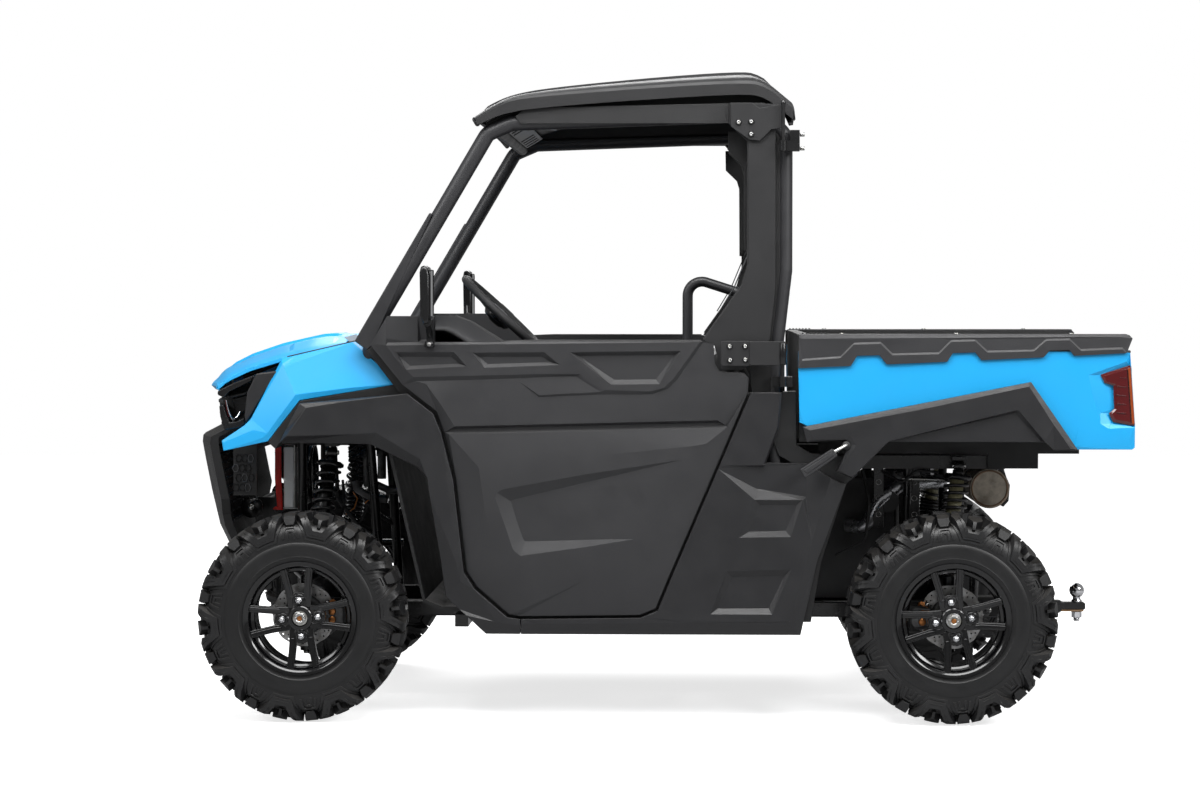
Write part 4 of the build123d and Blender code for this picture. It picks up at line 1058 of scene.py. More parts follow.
def make_hood():
    cols = [0, 60, 104, 118, 132, 200, 262, 300, 318, 345, 372, 430, 452, 466, 480, 492]
    cols = [-c for c in reversed(cols[1:])] + cols
    nt = 34
    bm = bmesh.new()
    grid = []
    for j in range(nt + 1):
        t = j / nt
        row = []
        for y in cols:
            x, z = hood_height(t, y)
            ay = abs(y)
            dz = 0.0
            if ay < 112:
                dz += 5.0 * min(1, (112 - ay) / 8) if t > 0.12 and t < 0.86 else 0.0      # raised middle
            if 318 <= ay <= 372 and 0.10 < t < 0.42:
                dz += 7.0                                                                     # raised pads beside the scoop
            if 118 <= ay <= 262:
                dz -= 3.5 if t < 0.9 else 0                                                    # sunk band
            if ay > 452:
                dz -= (ay - 452) * 0.16
            if t > 0.97:
                dz -= 4.0
            row.append(bm.verts.new(Vector((x, y, z + dz)) * MM))
        grid.append(row)
    for r1, r2 in zip(grid, grid[1:]):
        for i in range(len(cols) - 1):
            bm.faces.new([r1[i], r1[i + 1], r2[i + 1], r2[i]])
    # side and nose returns
    def ring(verts, dx, dy, dz):
        return [bm.verts.new(v.co + Vector((dx, dy * (1 if v.co.y > 0 else -1), dz)) * MM) for v in verts]
    for side in (0, -1):
        edge = [r[side] for r in grid]
        low = [bm.verts.new(v.co + Vector((0, (2 if side else -2), -12)) * MM) for v in edge]
        for a, b, c, d in zip(edge, edge[1:], low[1:], low):
            bm.faces.new([a, b, c, d] if side else [d, c, b, a])
    nose = grid[-1]
    low = [bm.verts.new(v.co + Vector((5, 0, -8)) * MM) for v in nose]
    low2 = [bm.verts.new(v.co + Vector((-10, 0, -22)) * MM) for v in nose]
    for a, b, c, d in zip(nose, nose[1:], low[1:], low):
        bm.faces.new([a, b, c, d])
    for a, b, c, d in zip(low, low[1:], low2[1:], low2):
        bm.faces.new([a, b, c, d])
    hood = from_bm("hood_skin", bm, M["blue"])
    m = hood.modifiers.new("wall", "SOLIDIFY")
    m.thickness = 4 * MM
    m.offset = 1.0 if hood.data.polygons[0].normal.z < 0 else -1.0
    bevel(hood, 2.0, 2, 12)
    # black liner, latch tongue and hinge arms under the skin
    liner = []
    for s in (-1, 1):
        liner.append(tube_mesh("hood_rib", [Vector((958, s * 300, 1128)), Vector((1100, s * 290, 1108)), Vector((1250, s * 250, 1060)), Vector((1370, s * 200, 1010))], 9,
                               M["dark"], 10))
        liner.append(box_mesh("hood_arm", 948, 1010, s * 322 - 5, s * 322 + 5, 1104, 1130, M["frame"], 1.5))
    liner.append(box_mesh("hood_latch", 1372, 1396, -18, 18, 972, 1004, M["zinc"], 2))
    # black apron under the nose, which closes the sight gap above the fascia
    bm = bmesh.new()
    strip = []
    for y in (-400, -330, -262, -200, -120, -60, 0, 60, 120, 200, 262, 330, 400):
        x, z = hood_height(1.0, y)
        strip.append([bm.verts.new(Vector((x - 13, y, z - 22)) * MM), bm.verts.new(Vector((x - 26, y, z - 42)) * MM)])
    for (a, b), (c, d) in zip(strip, strip[1:]):
        bm.faces.new([a, c, d, b])
    apron = from_bm("hood_apron", bm, M["dark"])
    m = apron.modifiers.new("wall", "SOLIDIFY")
    m.thickness = 2.5 * MM
    return join("hood_visual", [hood, apron] + liner)


both_sides(make_flare(), "front_flare_visual", "chassis", "chassis", ("front_flares",), ())
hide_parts("front_flares")
both_sides(make_fender(), "front_fender_visual", "chassis", "chassis", ("front_fenders",), ())
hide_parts("front_fenders")
put(make_hood(), "hood", "blue_body", "hood")


def fascia_x(z, y):
    """Front face of the fascia at height z and half width y."""
    line = [(1290, 968), (1322, 952), (1312, 872), (1370, 842), (1372, 822), (1363, 771), (1343, 670), (1318, 563), (1272, 468)]
    ay = abs(y)
    off = 0 if ay > 448 else (448 - ay) / 148 * 48 if ay > 300 else 48 + (300 - ay) / 180 * 22 if ay > 120 else 70
    for (xa, za), (xb, zb) in zip(line, line[1:]):
        if za >= z >= zb:
            return xa + (xb - xa) * (za - z) / (za - zb or 1) + off
    return 1300 + off


def make_front_detail():
    out = []
    # mesh of six-sided cells across the grille opening
    verts, edges = [], {}
    bm = bmesh.new()
    R = 17.0
    rows = int((790 - 566) / (R * 1.5)) + 1
    key = {}

    def vert(y, z):
        k = (round(y, 1), round(z, 1))
        if k not in key:
            key[k] = k
        return k
    segs = set()
    for r in range(rows):
        z0 = 578 + r * R * 1.5
        for c in range(-9, 10):
            y0 = c * R * 1.732 + (R * 0.866 if r % 2 else 0)
            if abs(y0) > 282:
                continue
            pts = [vert(y0 + R * math.sin(math.radians(60 * i)), z0 + R * math.cos(math.radians(60 * i))) for i in range(6)]
            for i in range(6):
                segs.add(tuple(sorted((pts[i], pts[(i + 1) % 6]))))
    for a, b in segs:
        pa = Vector((fascia_x(a[1], a[0]) - 34, a[0], a[1]))
        pb = Vector((fascia_x(b[1], b[0]) - 34, b[0], b[1]))
        d = (pb - pa).normalized()
        n1 = Vector((1, 0, 0)).cross(d).normalized() * 2.6
        n2 = Vector((5.0, 0, 0))
        va = [bm.verts.new((pa + o) * MM) for o in (n1, n2, -n1, -n2)]
        vb = [bm.verts.new((pb + o) * MM) for o in (n1, n2, -n1, -n2)]
        for i in range(4):
            j = (i + 1) % 4
            bm.faces.new([va[i], va[j], vb[j], vb[i]])
    out.append(from_bm("grille_mesh", bm, M["smooth_black"], False))
    for s in (-1, 1):
        # upright ribs of the grille opening
        for y in (292,):
            pth = [Vector((fascia_x(z, y) - 12, s * y, z)) for z in (786, 740, 690, 640, 590, 566)]
            out.append(tube_mesh("grille_post", pth, 7, M["dark"], 10))
    top = [Vector((fascia_x(790, y) - 14, y, 790)) for y in range(-292, 293, 73)]
    out.append(tube_mesh("grille_top", top, 7, M["dark"], 10))
    return join("grille_visual", out)


put(make_front_detail(), "chassis")


def make_headlamp():
    """Left lamp: dark bowl, two round projectors with bright reflectors, bright L-shaped trim and clear cover."""
    out = []
    sh = [(1238, 888), (1346, 888), (1351, 892), (1346, 938), (1300, 938), (1238, 936)]
    out.append(prism_y("lamp_body", [(1237, 889), (1290, 889), (1290, 937), (1237, 937)], 266, 424, M["smooth_black"], 2))
    for y, r in ((302, 21), (352, 21), (396, 15)):
        c = (1318, y, 913)
        out.append(revolved("lamp_bowl", [(r + 3, 0), (r + 3, -26), (r, -26), (r * 0.95, -22), (r * 0.8, -10), (r * 0.45, -4), (0, -3), (0, -6), (r * 0.8, -12), (r, 0)][:6] + [(r * 0.45, -30), (0, -30)],
                            c, (1, 0, 0), M["reflector"], seg=32))
        out.append(revolved("lamp_dome", [(0, -4), (r * 0.35, -5), (r * 0.6, -9), (r * 0.66, -15), (0, -15)], c, (1, 0, 0), M["lens_clear"], seg=32))
        out.append(revolved("lamp_bezel", [(r + 1, 0), (r + 4.5, -1), (r + 5, -6), (r + 5, -24), (r + 1, -24)], c, (1, 0, 0), M["smooth_black"], seg=32))
    # bright trim along the lower front edge, as seen from the side
    trim = [Vector((1346, 268, 934)), Vector((1349, 300, 914)), Vector((1346, 360, 900)), Vector((1338, 424, 893))]
    out.append(tube_mesh("lamp_trim", trim, 2.6, M["reflector"], 10))
    out.append(tube_mesh("lamp_trim2", [Vector((1338, 425, 893)), Vector((1318, 427, 893)), Vector((1296, 427, 896))], 3.4, M["reflector"], 10))
    out.append(tube_mesh("lamp_trim3", [Vector((1338, 425, 893)), Vector((1343, 425, 918)), Vector((1341, 425, 935))], 2.8, M["reflector"], 10))
    # clear cover wrapped over the front
    bm = bmesh.new()
    rows = []
    for z in (888.5, 900, 926, 937.5):
        rows.append([bm.verts.new(Vector((fx, y, z)) * MM) for fx, y in ((1350, 266), (1351, 300), (1349, 350), (1344, 395), (1338, 424), (1300, 427), (1262, 427))])
    for r1, r2 in zip(rows, rows[1:]):
        for i in range(len(r1) - 1):
            bm.faces.new([r1[i], r1[i + 1], r2[i + 1], r2[i]])
    cov = from_bm("lamp_cover", bm, M["lens_clear"])
    m = cov.modifiers.new("wall", "SOLIDIFY")
    m.thickness = 1.5 * MM
    m.offset = 0.0
    out.append(cov)
    return join("headlamp_visual", out)


both_sides(make_headlamp(), "headlamp_visual", "chassis", "chassis", ("headlamps",), ())
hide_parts("headlamps")


def H(cx, cy, y):
    """Place of an enlarged side-view point of the lamp corner."""
    return P(200 + cx / 5.846, 360 + cy / 5.846, y)


def make_lamp_surround():
    """Left surround between the hood's lip, the blue fender and the lamp."""
    bits = []
    plate = [H(*p, 600) for p in ((318, 82), (446, 66), (278, 338), (256, 372), (246, 330), (264, 190))]
    bits.append(prism_y("surround_plate", plate, 560, 604, M["fender"], 4, 3))
    wall = [H(*p, 470) for p in ((104, 186), (316, 92), (420, 76), (300, 330), (244, 392), (134, 404), (106, 268), (134, 216))]
    bits.append(prism_y("surround_wall", wall, 452, 462, M["dark"], 1))
    brow = [H(*p, 530) for p in ((100, 182), (190, 136), (318, 88), (300, 124), (170, 186), (136, 222), (98, 204))]
    bits.append(prism_y("surround_brow", brow, 456, 566, M["smooth_black"], 4, 3))
    foot = [H(*p, 530) for p in ((106, 268), (132, 262), (148, 318), (166, 366), (206, 362), (250, 340), (262, 372), (232, 398), (134, 412), (112, 330))]
    bits.append(prism_y("surround_foot", foot, 456, 560, M["smooth_black"], 4, 3))
    bar = [H(*p, 520) for p in ((150, 212), (270, 186), (262, 204), (168, 226))]
    bits.append(prism_y("surround_bar", bar, 458, 540, M["dark"], 3, 2))
    pts = [(138, 236), (146, 286), (158, 330), (170, 354), (196, 340), (213, 306)]
    trim = [Vector((H(*p, 548)[0], 548 - 6 * i, H(*p, 548)[1])) for i, p in enumerate(pts)]
    bits.append(tube_mesh("surround_trim", trim, [2.2, 3.0, 4.6, 6.2, 4.6, 2.4], M["reflector"], 12))
    bits.append(tube_mesh("surround_trim2", [Vector((H(*p, 552)[0], 550, H(*p, 552)[1])) for p in ((134, 238), (141, 290), (152, 334))], 1.4, M["lens_red"], 8))
    inner = [H(*p, 500) for p in ((168, 232), (262, 206), (246, 300), (214, 330), (186, 322))]
    bits.append(prism_y("surround_bowl", inner, 462, 476, M["smooth_black"], 3, 2))
    return bits


both_sides(join("lamp_surround", make_lamp_surround()), "lamp_surround", "chassis", "chassis")


def make_fascia_inside():
    """Ribs and torn-looking mesh cells on the inner side of the left fascia wing, seen past the wheel."""
    bits = []
    for k in range(5):
        z = 792 - k * 34
        bits.append(tube_mesh("wing_rib", [Vector((1236, 434 - 3 * k, z)), Vector((1300 - 6 * k, 436, z + 6))], 3.0, M["smooth_black"], 8))
    for k in range(4):
        for j in range(3):
            cx, cz = 1246 + 19 * j + (9 if k % 2 else 0), 776 - 30 * k
            pts = [Vector((cx + 9 * math.cos(math.radians(60 * i)), 449.5, cz + 13 * math.sin(math.radians(60 * i)))) for i in range(6)]
            bits.append(tube_mesh("wing_cell", pts, 1.7, M["panel_grey"] if (k + j) % 3 == 0 else M["smooth_black"], 6, closed=True))
    return bits


both_sides(join("fascia_inside", make_fascia_inside()), "fascia_inside", "chassis", "chassis")
# ---------------------------------------------------------------- load bed
def B(cx, cy, d=0.0, y=694.0):
    """Bed relief point: enlarged side-view place of the bed and its depth."""
    x, z = P(720 + cx / 3.5636, 230 + cy / 3.5636, y)
    return (x, z, d)


def make_bed_side():
    out = [(-430, 1064, 0), (-430, 1111, 0), (-1392, 1111, 0), (-1412, 1107, 2), (-1428, 892, 7), (-1428, 826, 9), (-1420, 820, 7),
           (-1242, 820, 3), (-1110, 1005, 1), (-900, 964, 1), (-470, 880, 1), (-434, 900, 3)]
    lamp = [(-1322, 1040, 7), (-1410, 1069, 10), (-1424, 893, 12), (-1363, 903, 14), (-1351, 927, 14), (-1366, 941, 14), (-1363, 1010, 14), (-1337, 1017, 10)]
    L = [[B(283, 500, 0), B(283, 640, 0), B(300, 690, 0)],
         [B(1295, 745, 0.5), B(1452, 742, 2)],
         [B(1262, 770, 0.5), B(1295, 745, 0.5), B(1272, 700, 0), B(1130, 500, 0)],
         [B(1306, 516, 0.5), B(1440, 468, 1)],
         [B(1306, 516, 0.5), B(1325, 600, 0.5), B(1350, 688, 0.5), B(1378, 706, 0.5), B(1472, 702, 2)],
         [B(1346, 515, 7), B(1356, 560, 7), B(1350, 650, 8), B(1386, 690, 8)],
         lamp + lamp[:1]]
    panel = crease_panel("bed_side_skin", out, L, 690.0, 34, M["blue"], bev=2.2, seg=2, angle=9, back=656)
    return panel


def make_bed_rail():
    low = [B(278, 492), B(465, 484), B(487, 448), B(566, 446), B(592, 478), B(806, 469), B(826, 438), B(905, 436), B(927, 463), B(1147, 453), B(1168, 429),
           B(1238, 427), B(1254, 447), B(1440, 438)]
    low = [(x, z, 1.5) for x, z, _ in low]
    out = low + [(-1418, 1150, 4), (-1408, 1161, 6), (-434, 1161, 5), (-431, 1154, 3)]
    ridge = [B(292, 466, 0), B(428, 456, 0), B(476, 408, 0), B(570, 405, 0), B(612, 446, 0), B(776, 442, 0), B(820, 398, 0), B(905, 396, 0), B(948, 436, 0),
             B(1112, 432, 0), B(1156, 394, 0), B(1238, 392, 0), B(1278, 430, 0), B(1424, 424, 0)]
    ridge2 = [(x, z + 6, 3.2) for x, z, _ in ridge]
    top = [B(292, 388, 1.2), B(760, 384, 1.2), B(1420, 380, 1.2)]
    rail = crease_panel("bed_rail_skin", out, [ridge, ridge2, top], 699.0, 9, M["rail"], bev=2.0, seg=2, angle=12, back=692)
    # top cap of the rail, with the raised grid block at its front end
    cap = box_mesh("rail_cap", -1404, -436, 644, 692, 1156, 1163, M["rail"], 3, 2)
    bits = [rail, cap]
    for i in range(7):
        bits.append(box_mesh(f"rail_tooth{i}", -446 - i * 11, -441 - i * 11, 652, 684, 1162, 1166, M["dark"], 0.8, 1))
    for x in (-560, -900, -1240):
        bits.append(revolved("rail_bolt", [(0, 4), (6, 4), (7, 3), (7, 0), (0, 0)], (x, 668, 1162), (0, 0, 1), M["zinc"], seg=16))
    return bits


def make_rear_fender():
    out = [(-443, 887, 6), (-1117, 1021, 6), (-1257, 819, 8), (-1186, 819, 12), (-1158, 843, 14), (-697, 843, 16), (-589, 735, 12), (-543, 756, 8), (-581, 837, 6),
           (-571, 850, 5), (-455, 842, 6)]
    L = [[B(320, 712, 0), B(700, 640, 0), B(1092, 556, 0), B(1100, 566, 0)],
         [B(1100, 566, 0), B(1180, 690, 1), B(1240, 775, 3)],
         [B(596, 752, 0), B(800, 700, 0), B(1048, 640, 0), B(1058, 642, 0), B(1150, 752, 1)],
         [B(606, 756, 12), B(800, 706, 12), B(1046, 650, 12), B(1138, 752, 13)],
         [B(596, 752, 0), B(560, 800, 0), B(478, 880, 2)],
         [B(320, 712, 0), B(330, 745, 2), B(420, 730, 2), B(462, 730, 2), B(484, 766, 2), B(420, 850, 2), B(470, 878, 2)]]
    pl = crease_panel("rear_fender_skin", out, [[(a, b, c) for a, b, c in ln] for ln in L], 722.0, 30, M["fender"], bev=2.0, seg=2, angle=9, back=692)
    return pl


def make_tail_lamp():
    bits = []
    out = [(-1325, 1043, 6), (-1412, 1071, 3), (-1426, 891, 3), (-1363, 902, 6), (-1350, 927, 6), (-1366, 941, 6), (-1363, 1010, 6), (-1336, 1018, 6)]
    ins = [(-1335, 1036, 2), (-1400, 1058, 0), (-1413, 902, 0), (-1370, 909, 2), (-1360, 926, 2), (-1374, 941, 2), (-1371, 1014, 2), (-1342, 1022, 2)]
    lens = crease_panel("tail_lens", out, [ins + ins[:1], [(-1400, 1058, 0), (-1413, 902, 0)], [(-1374, 985, 1), (-1408, 985, 0)]], 691.0, 12, M["lens_red"], bev=1.2, seg=2,
                        angle=12, back=662)
    bits.append(lens)
    # amber strip on the rear corner and the bright inner ribs
    bits.append(prism_y("tail_amber", [(-1403, 1060), (-1413, 1066), (-1426, 896), (-1416, 897)], 664, 690.6, M["lens_amber"], 1.2))
    for k in range(5):
        z = 1035 - 26 * k
        bits.append(tube_mesh(f"tail_rib{k}", [Vector((-1372 - (10 if k < 1 else 0), 690.6, z)), Vector((-1400, 691.2, z - 3))], 1.3, M["lens_red"], 8))
    bits.append(tube_mesh("tail_edge", [Vector((-1404, 690.8, 1058)), Vector((-1416, 690.4, 900))], 1.6, M["smooth_black"], 8))
    return bits


def make_release():
    """Bed release handle with its shaft."""
    bits = []
    grip = [P(720 + a / 3.5636, 230 + b / 3.5636, 736) for a, b in ((287, 852), (398, 779), (404, 782), (418, 800), (416, 806), (308, 881), (300, 880))]
    bits.append(prism_y("release_grip", grip, 722, 750, M["door"], 3, 3))
    g2 = [P(720 + a / 3.5636, 230 + b / 3.5636, 736) for a, b in ((300, 853), (398, 790), (406, 800), (310, 866))]
    bits.append(prism_y("release_grip_face", g2, 748, 752, M["door"], 1.5, 2))
    a = P(720 + 398 / 3.5636, 230 + 795 / 3.5636, 733)
    b = P(720 + 446 / 3.5636, 230 + 768 / 3.5636, 733)
    bits.append(tube_mesh("release_shaft", [Vector((a[0], 736, a[1])), Vector((b[0], 728, b[1])), Vector((b[0] - 8, 716, b[1] + 2))], 5.5, M["zinc"], 14))
    bits.append(revolved("release_boss", [(0, 8), (11, 8), (13, 5), (13, -10), (0, -10)], (b[0] - 4, 716, b[1]), (0, 1, 0), M["dark"], seg=24))
    return bits


def prism_z(name, pts, z0, z1, mat, bev=2.0, seg=2, angle=30):
    """Plan outline (x, y) raised from z0 to z1."""
    bm = bmesh.new()
    lo = [bm.verts.new(Vector((x, y, z0)) * MM) for x, y in pts]
    hi = [bm.verts.new(Vector((x, y, z1)) * MM) for x, y in pts]
    n = len(pts)
    bm.faces.new(lo[::-1])
    bm.faces.new(hi)
    for i in range(n):
        bm.faces.new([lo[i], lo[(i + 1) % n], hi[(i + 1) % n], hi[i]])
    bmesh.ops.recalc_face_normals(bm, faces=bm.faces)
    ob = from_bm(name, bm, mat, False)
    if bev:
        bevel(ob, bev, seg, angle)
    return ob


def make_tailgate():
    bits = []
    plan = [(-1402, -646), (-1402, 646), (-1420, 646), (-1426, 600), (-1438, 520), (-1438, -520), (-1426, -600), (-1420, -646)]
    bits.append(prism_z("gate_skin", plan, 846, 1060, M["dark"], 4, 3, 20))
    plan2 = [(-1402, -646), (-1402, 646), (-1411, 646), (-1418, 600), (-1436, 520), (-1436, -520), (-1418, -600), (-1411, -646)]
    bits.append(prism_z("gate_skin_top", plan2, 1056, 1108, M["dark"], 4, 3, 20))
    # pressed frames on the outer face and the centre latch
    for y0, y1 in ((-510, -210), (-180, 180), (210, 510)):
        ring = rounded_path([Vector((-1439.5, y0, 880)), Vector((-1439.5, y1, 880)), Vector((-1439.5, y1, 1070)), Vector((-1439.5, y0, 1070))], 26)
        bits.append(tube_mesh("gate_press", [Vector(p) for p in ring], 2.4, M["dark"], 8, closed=True))
    bits.append(box_mesh("gate_handle_well", -1441.4, -1436, -90, 90, 1030, 1082, M["smooth_black"], 2, 2))
    bits.append(box_mesh("gate_handle", -1441.8, -1438, -62, 62, 1046, 1064, M["panel_grey"], 1.6, 2))
    bits.append(prism_z("gate_top", [(-1401, -640), (-1401, 640), (-1410, 640), (-1418, 596), (-1438, 516), (-1438, -516), (-1418, -596), (-1410, -640)], 1103, 1112, M["fender"], 3, 3, 20))
    for y in [k * 80 for k in range(-7, 8)]:
        bits.append(box_mesh(f"gate_rib{y}", -1403, -1400.4, y - 5, y + 5, 862, 1092, M["dark"], 1.2, 1))
    return bits


def make_bed_inside():
    """Floor ribs, tie-down loops with their plates, and the headboard screen inside the bed."""
    bits = []
    for k in range(-9, 10):
        y = k * 64
        bits.append(box_mesh(f"floor_rib{k}", -1386, -476, y - 14, y + 14, 863.5, 867.5, M["dark"], 1.6, 1))
    for s in (-1, 1):
        for x in (-540, -940, -1330):
            bits.append(tube_mesh("tie_loop", [Vector(p) for p in rounded_path([(x - 20, s * 634, 905), (x - 20, s * 614, 905), (x + 20, s * 614, 905), (x + 20, s * 634, 905)], 8)], 4.5,
                                  M["zinc"], 10))
            bits.append(box_mesh("tie_plate", x - 30, x + 30, s * 637 - 2, s * 637 + 2, 888, 922, M["frame"], 1.2))
    for y in range(-560, 561, 70):
        bits.append(box_mesh(f"head_rib{y}", -470.5, -466, y - 9, y + 9, 850, 1140, M["dark"], 1.5, 1))
    return bits


both_sides(make_bed_side(), "bed_side_visual", "bed", "bed", ("bed_sides",), ("bed_sides",))
rl = join("bed_rail_visual", make_bed_rail())
both_sides(rl, "bed_rail_visual", "bed", "bed", (), ())
both_sides(make_rear_fender(), "rear_fender_visual", "bed", "bed", ("rear_fenders",), ("rear_fenders",))
both_sides(join("tail_lamp_visual", make_tail_lamp()), "tail_lamp_visual", "bed", "bed", ("tail_lamps",), ("tail_lamps",))
put(join("bed_release_visual", make_release()), "bed")
put(join("tailgate_visual", make_tailgate()), "tailgate", "dark_plastic", "tailgate")
put(join("bed_inside_visual", make_bed_inside()), "bed")


# ---------------------------------------------------------------- rear side panels and sills
def make_rear_panel():
    out = [(398, 309, 3), (40, 314, 3), (-12, 336, 3), (-48, 424, 3), (-193, 763, 3), (-289, 988, 5), (-381, 990, 6), (-372, 882, 8), (-334, 779, 9),
           (-456, 776, 20), (-527, 735, 12), (-572, 714, 14), (-488, 488, 12), (-438, 264, 12), (398, 264, 9)]
    L = [[D(1404, 672, 2), P(764.7, 465.3, 698) + (2,)],
         # upper cover
         [P(747.4, 393, 698) + (2,), P(780, 393, 698) + (2,), P(777, 428, 698) + (2,), P(764, 464, 698) + (2,), P(718, 466, 698) + (2,)],
         # concave dark region behind the cover
         [P(764, 467, 690) + (14,), P(716, 469, 690) + (3,)],
         [P(764, 467, 690) + (14,), P(757, 489, 690) + (15,), P(806, 497, 690) + (15,)],
         # upper recess: bright floor
         [P(755, 500, 698) + (2,), P(803, 500, 698) + (3,), P(791, 537, 698) + (2,), P(739, 538, 698) + (2,), P(755, 500, 698) + (2,)],
         [P(760, 505, 698) + (11,), P(797, 505, 698) + (11,), P(786, 531, 698) + (9,), P(749, 532, 698) + (9,), P(760, 505, 698) + (11,)],
         # step recess
         [P(726.8, 571.6, 698) + (2,), P(791.8, 569.5, 698) + (2,), P(772.3, 615, 698) + (2,), P(710.5, 615, 698) + (2,), P(726.8, 571.6, 698) + (2,)],
         [P(732, 578, 698) + (12,), P(785, 576, 698) + (12,), P(769, 609, 698) + (12,), P(718, 609.5, 698) + (12,), P(732, 578, 698) + (12,)],
         # shoulder behind the recesses
         [P(830.9, 478.4, 698) + (3,), P(812, 540, 698) + (1,), P(790, 625, 698) + (3,)],
         # sill crease
         [D(600, 1253, 2), D(1160, 1243, 2), P(660, 619, 698) + (1,), P(780, 622, 698) + (1,)],
         [(396, 296, 2), (200, 297, 2), (-100, 300, 2), (-420, 304, 4)]]
    L = [[tuple(p) for p in ln] for ln in L]
    return crease_panel("rear_panel_skin", out, L, 700.0, 34, M["fender"], bev=2.2, seg=2, angle=9, back=667)


both_sides(make_rear_panel(), "rear_panel_visual", "chassis", "chassis", ("rear_side_panels",), ("rear_side_panels",))


def strip(name, pts, w0, w1, y0, y1, mat):
    """Band following a side-view line: w0 to one side and w1 to the other."""
    n = len(pts)
    left, right = [], []
    for i in range(n):
        a = Vector(pts[max(0, i - 1)])
        b = Vector(pts[min(n - 1, i + 1)])
        d = (b - a).normalized()
        nrm = Vector((-d.y, d.x))
        p = Vector(pts[i])
        left.append(tuple(p + nrm * w0))
        right.append(tuple(p - nrm * w1))
    return prism_y(name, left + right[::-1], y0, y1, mat, 1.0, 1)


jamb = strip("door_jamb", [(842, 1128), (753, 1011), (650, 931), (627, 868), (592, 728), (560, 453), (529, 402), (433, 320), (403, 315), (43, 318), (-7, 342),
                           (-43, 425), (-189, 765), (-284, 988)], 26, 26, 640, 656, M["dark"])
flange = prism_y("fender_flange", [(765, 1012), (1068, 960), (1165, 836), (1142, 815), (1060, 925), (735, 968)], 545, 640, M["dark"], 2)
liner = prism_y("bed_liner", [(-300, 984), (-424, 992), (-426, 830), (-468, 806), (-600, 796), (-608, 742), (-575, 716), (-500, 480), (-470, 300), (-440, 300), (-440, 760), (-372, 800)],
                600, 662, M["dark"], 2)
both_sides(join("body_liner", [jamb, flange, liner]), "body_liner_visual", "chassis")
# ---------------------------------------------------------------- roof and cab frame
def C(cx, cy, y=690.0):
    """Place of an enlarged side-view point of the cab's upper part."""
    return P(480 + cx / 4.48, 50 + cy / 4.48, y)


def chaikin(pts, rounds=2):
    for _ in range(rounds):
        out = [pts[0]]
        for a, b in zip(pts, pts[1:]):
            out.append(tuple(a[k] * 0.75 + b[k] * 0.25 for k in range(len(a))))
            out.append(tuple(a[k] * 0.25 + b[k] * 0.75 for k in range(len(a))))
        out.append(pts[-1])
        pts = out
    return pts


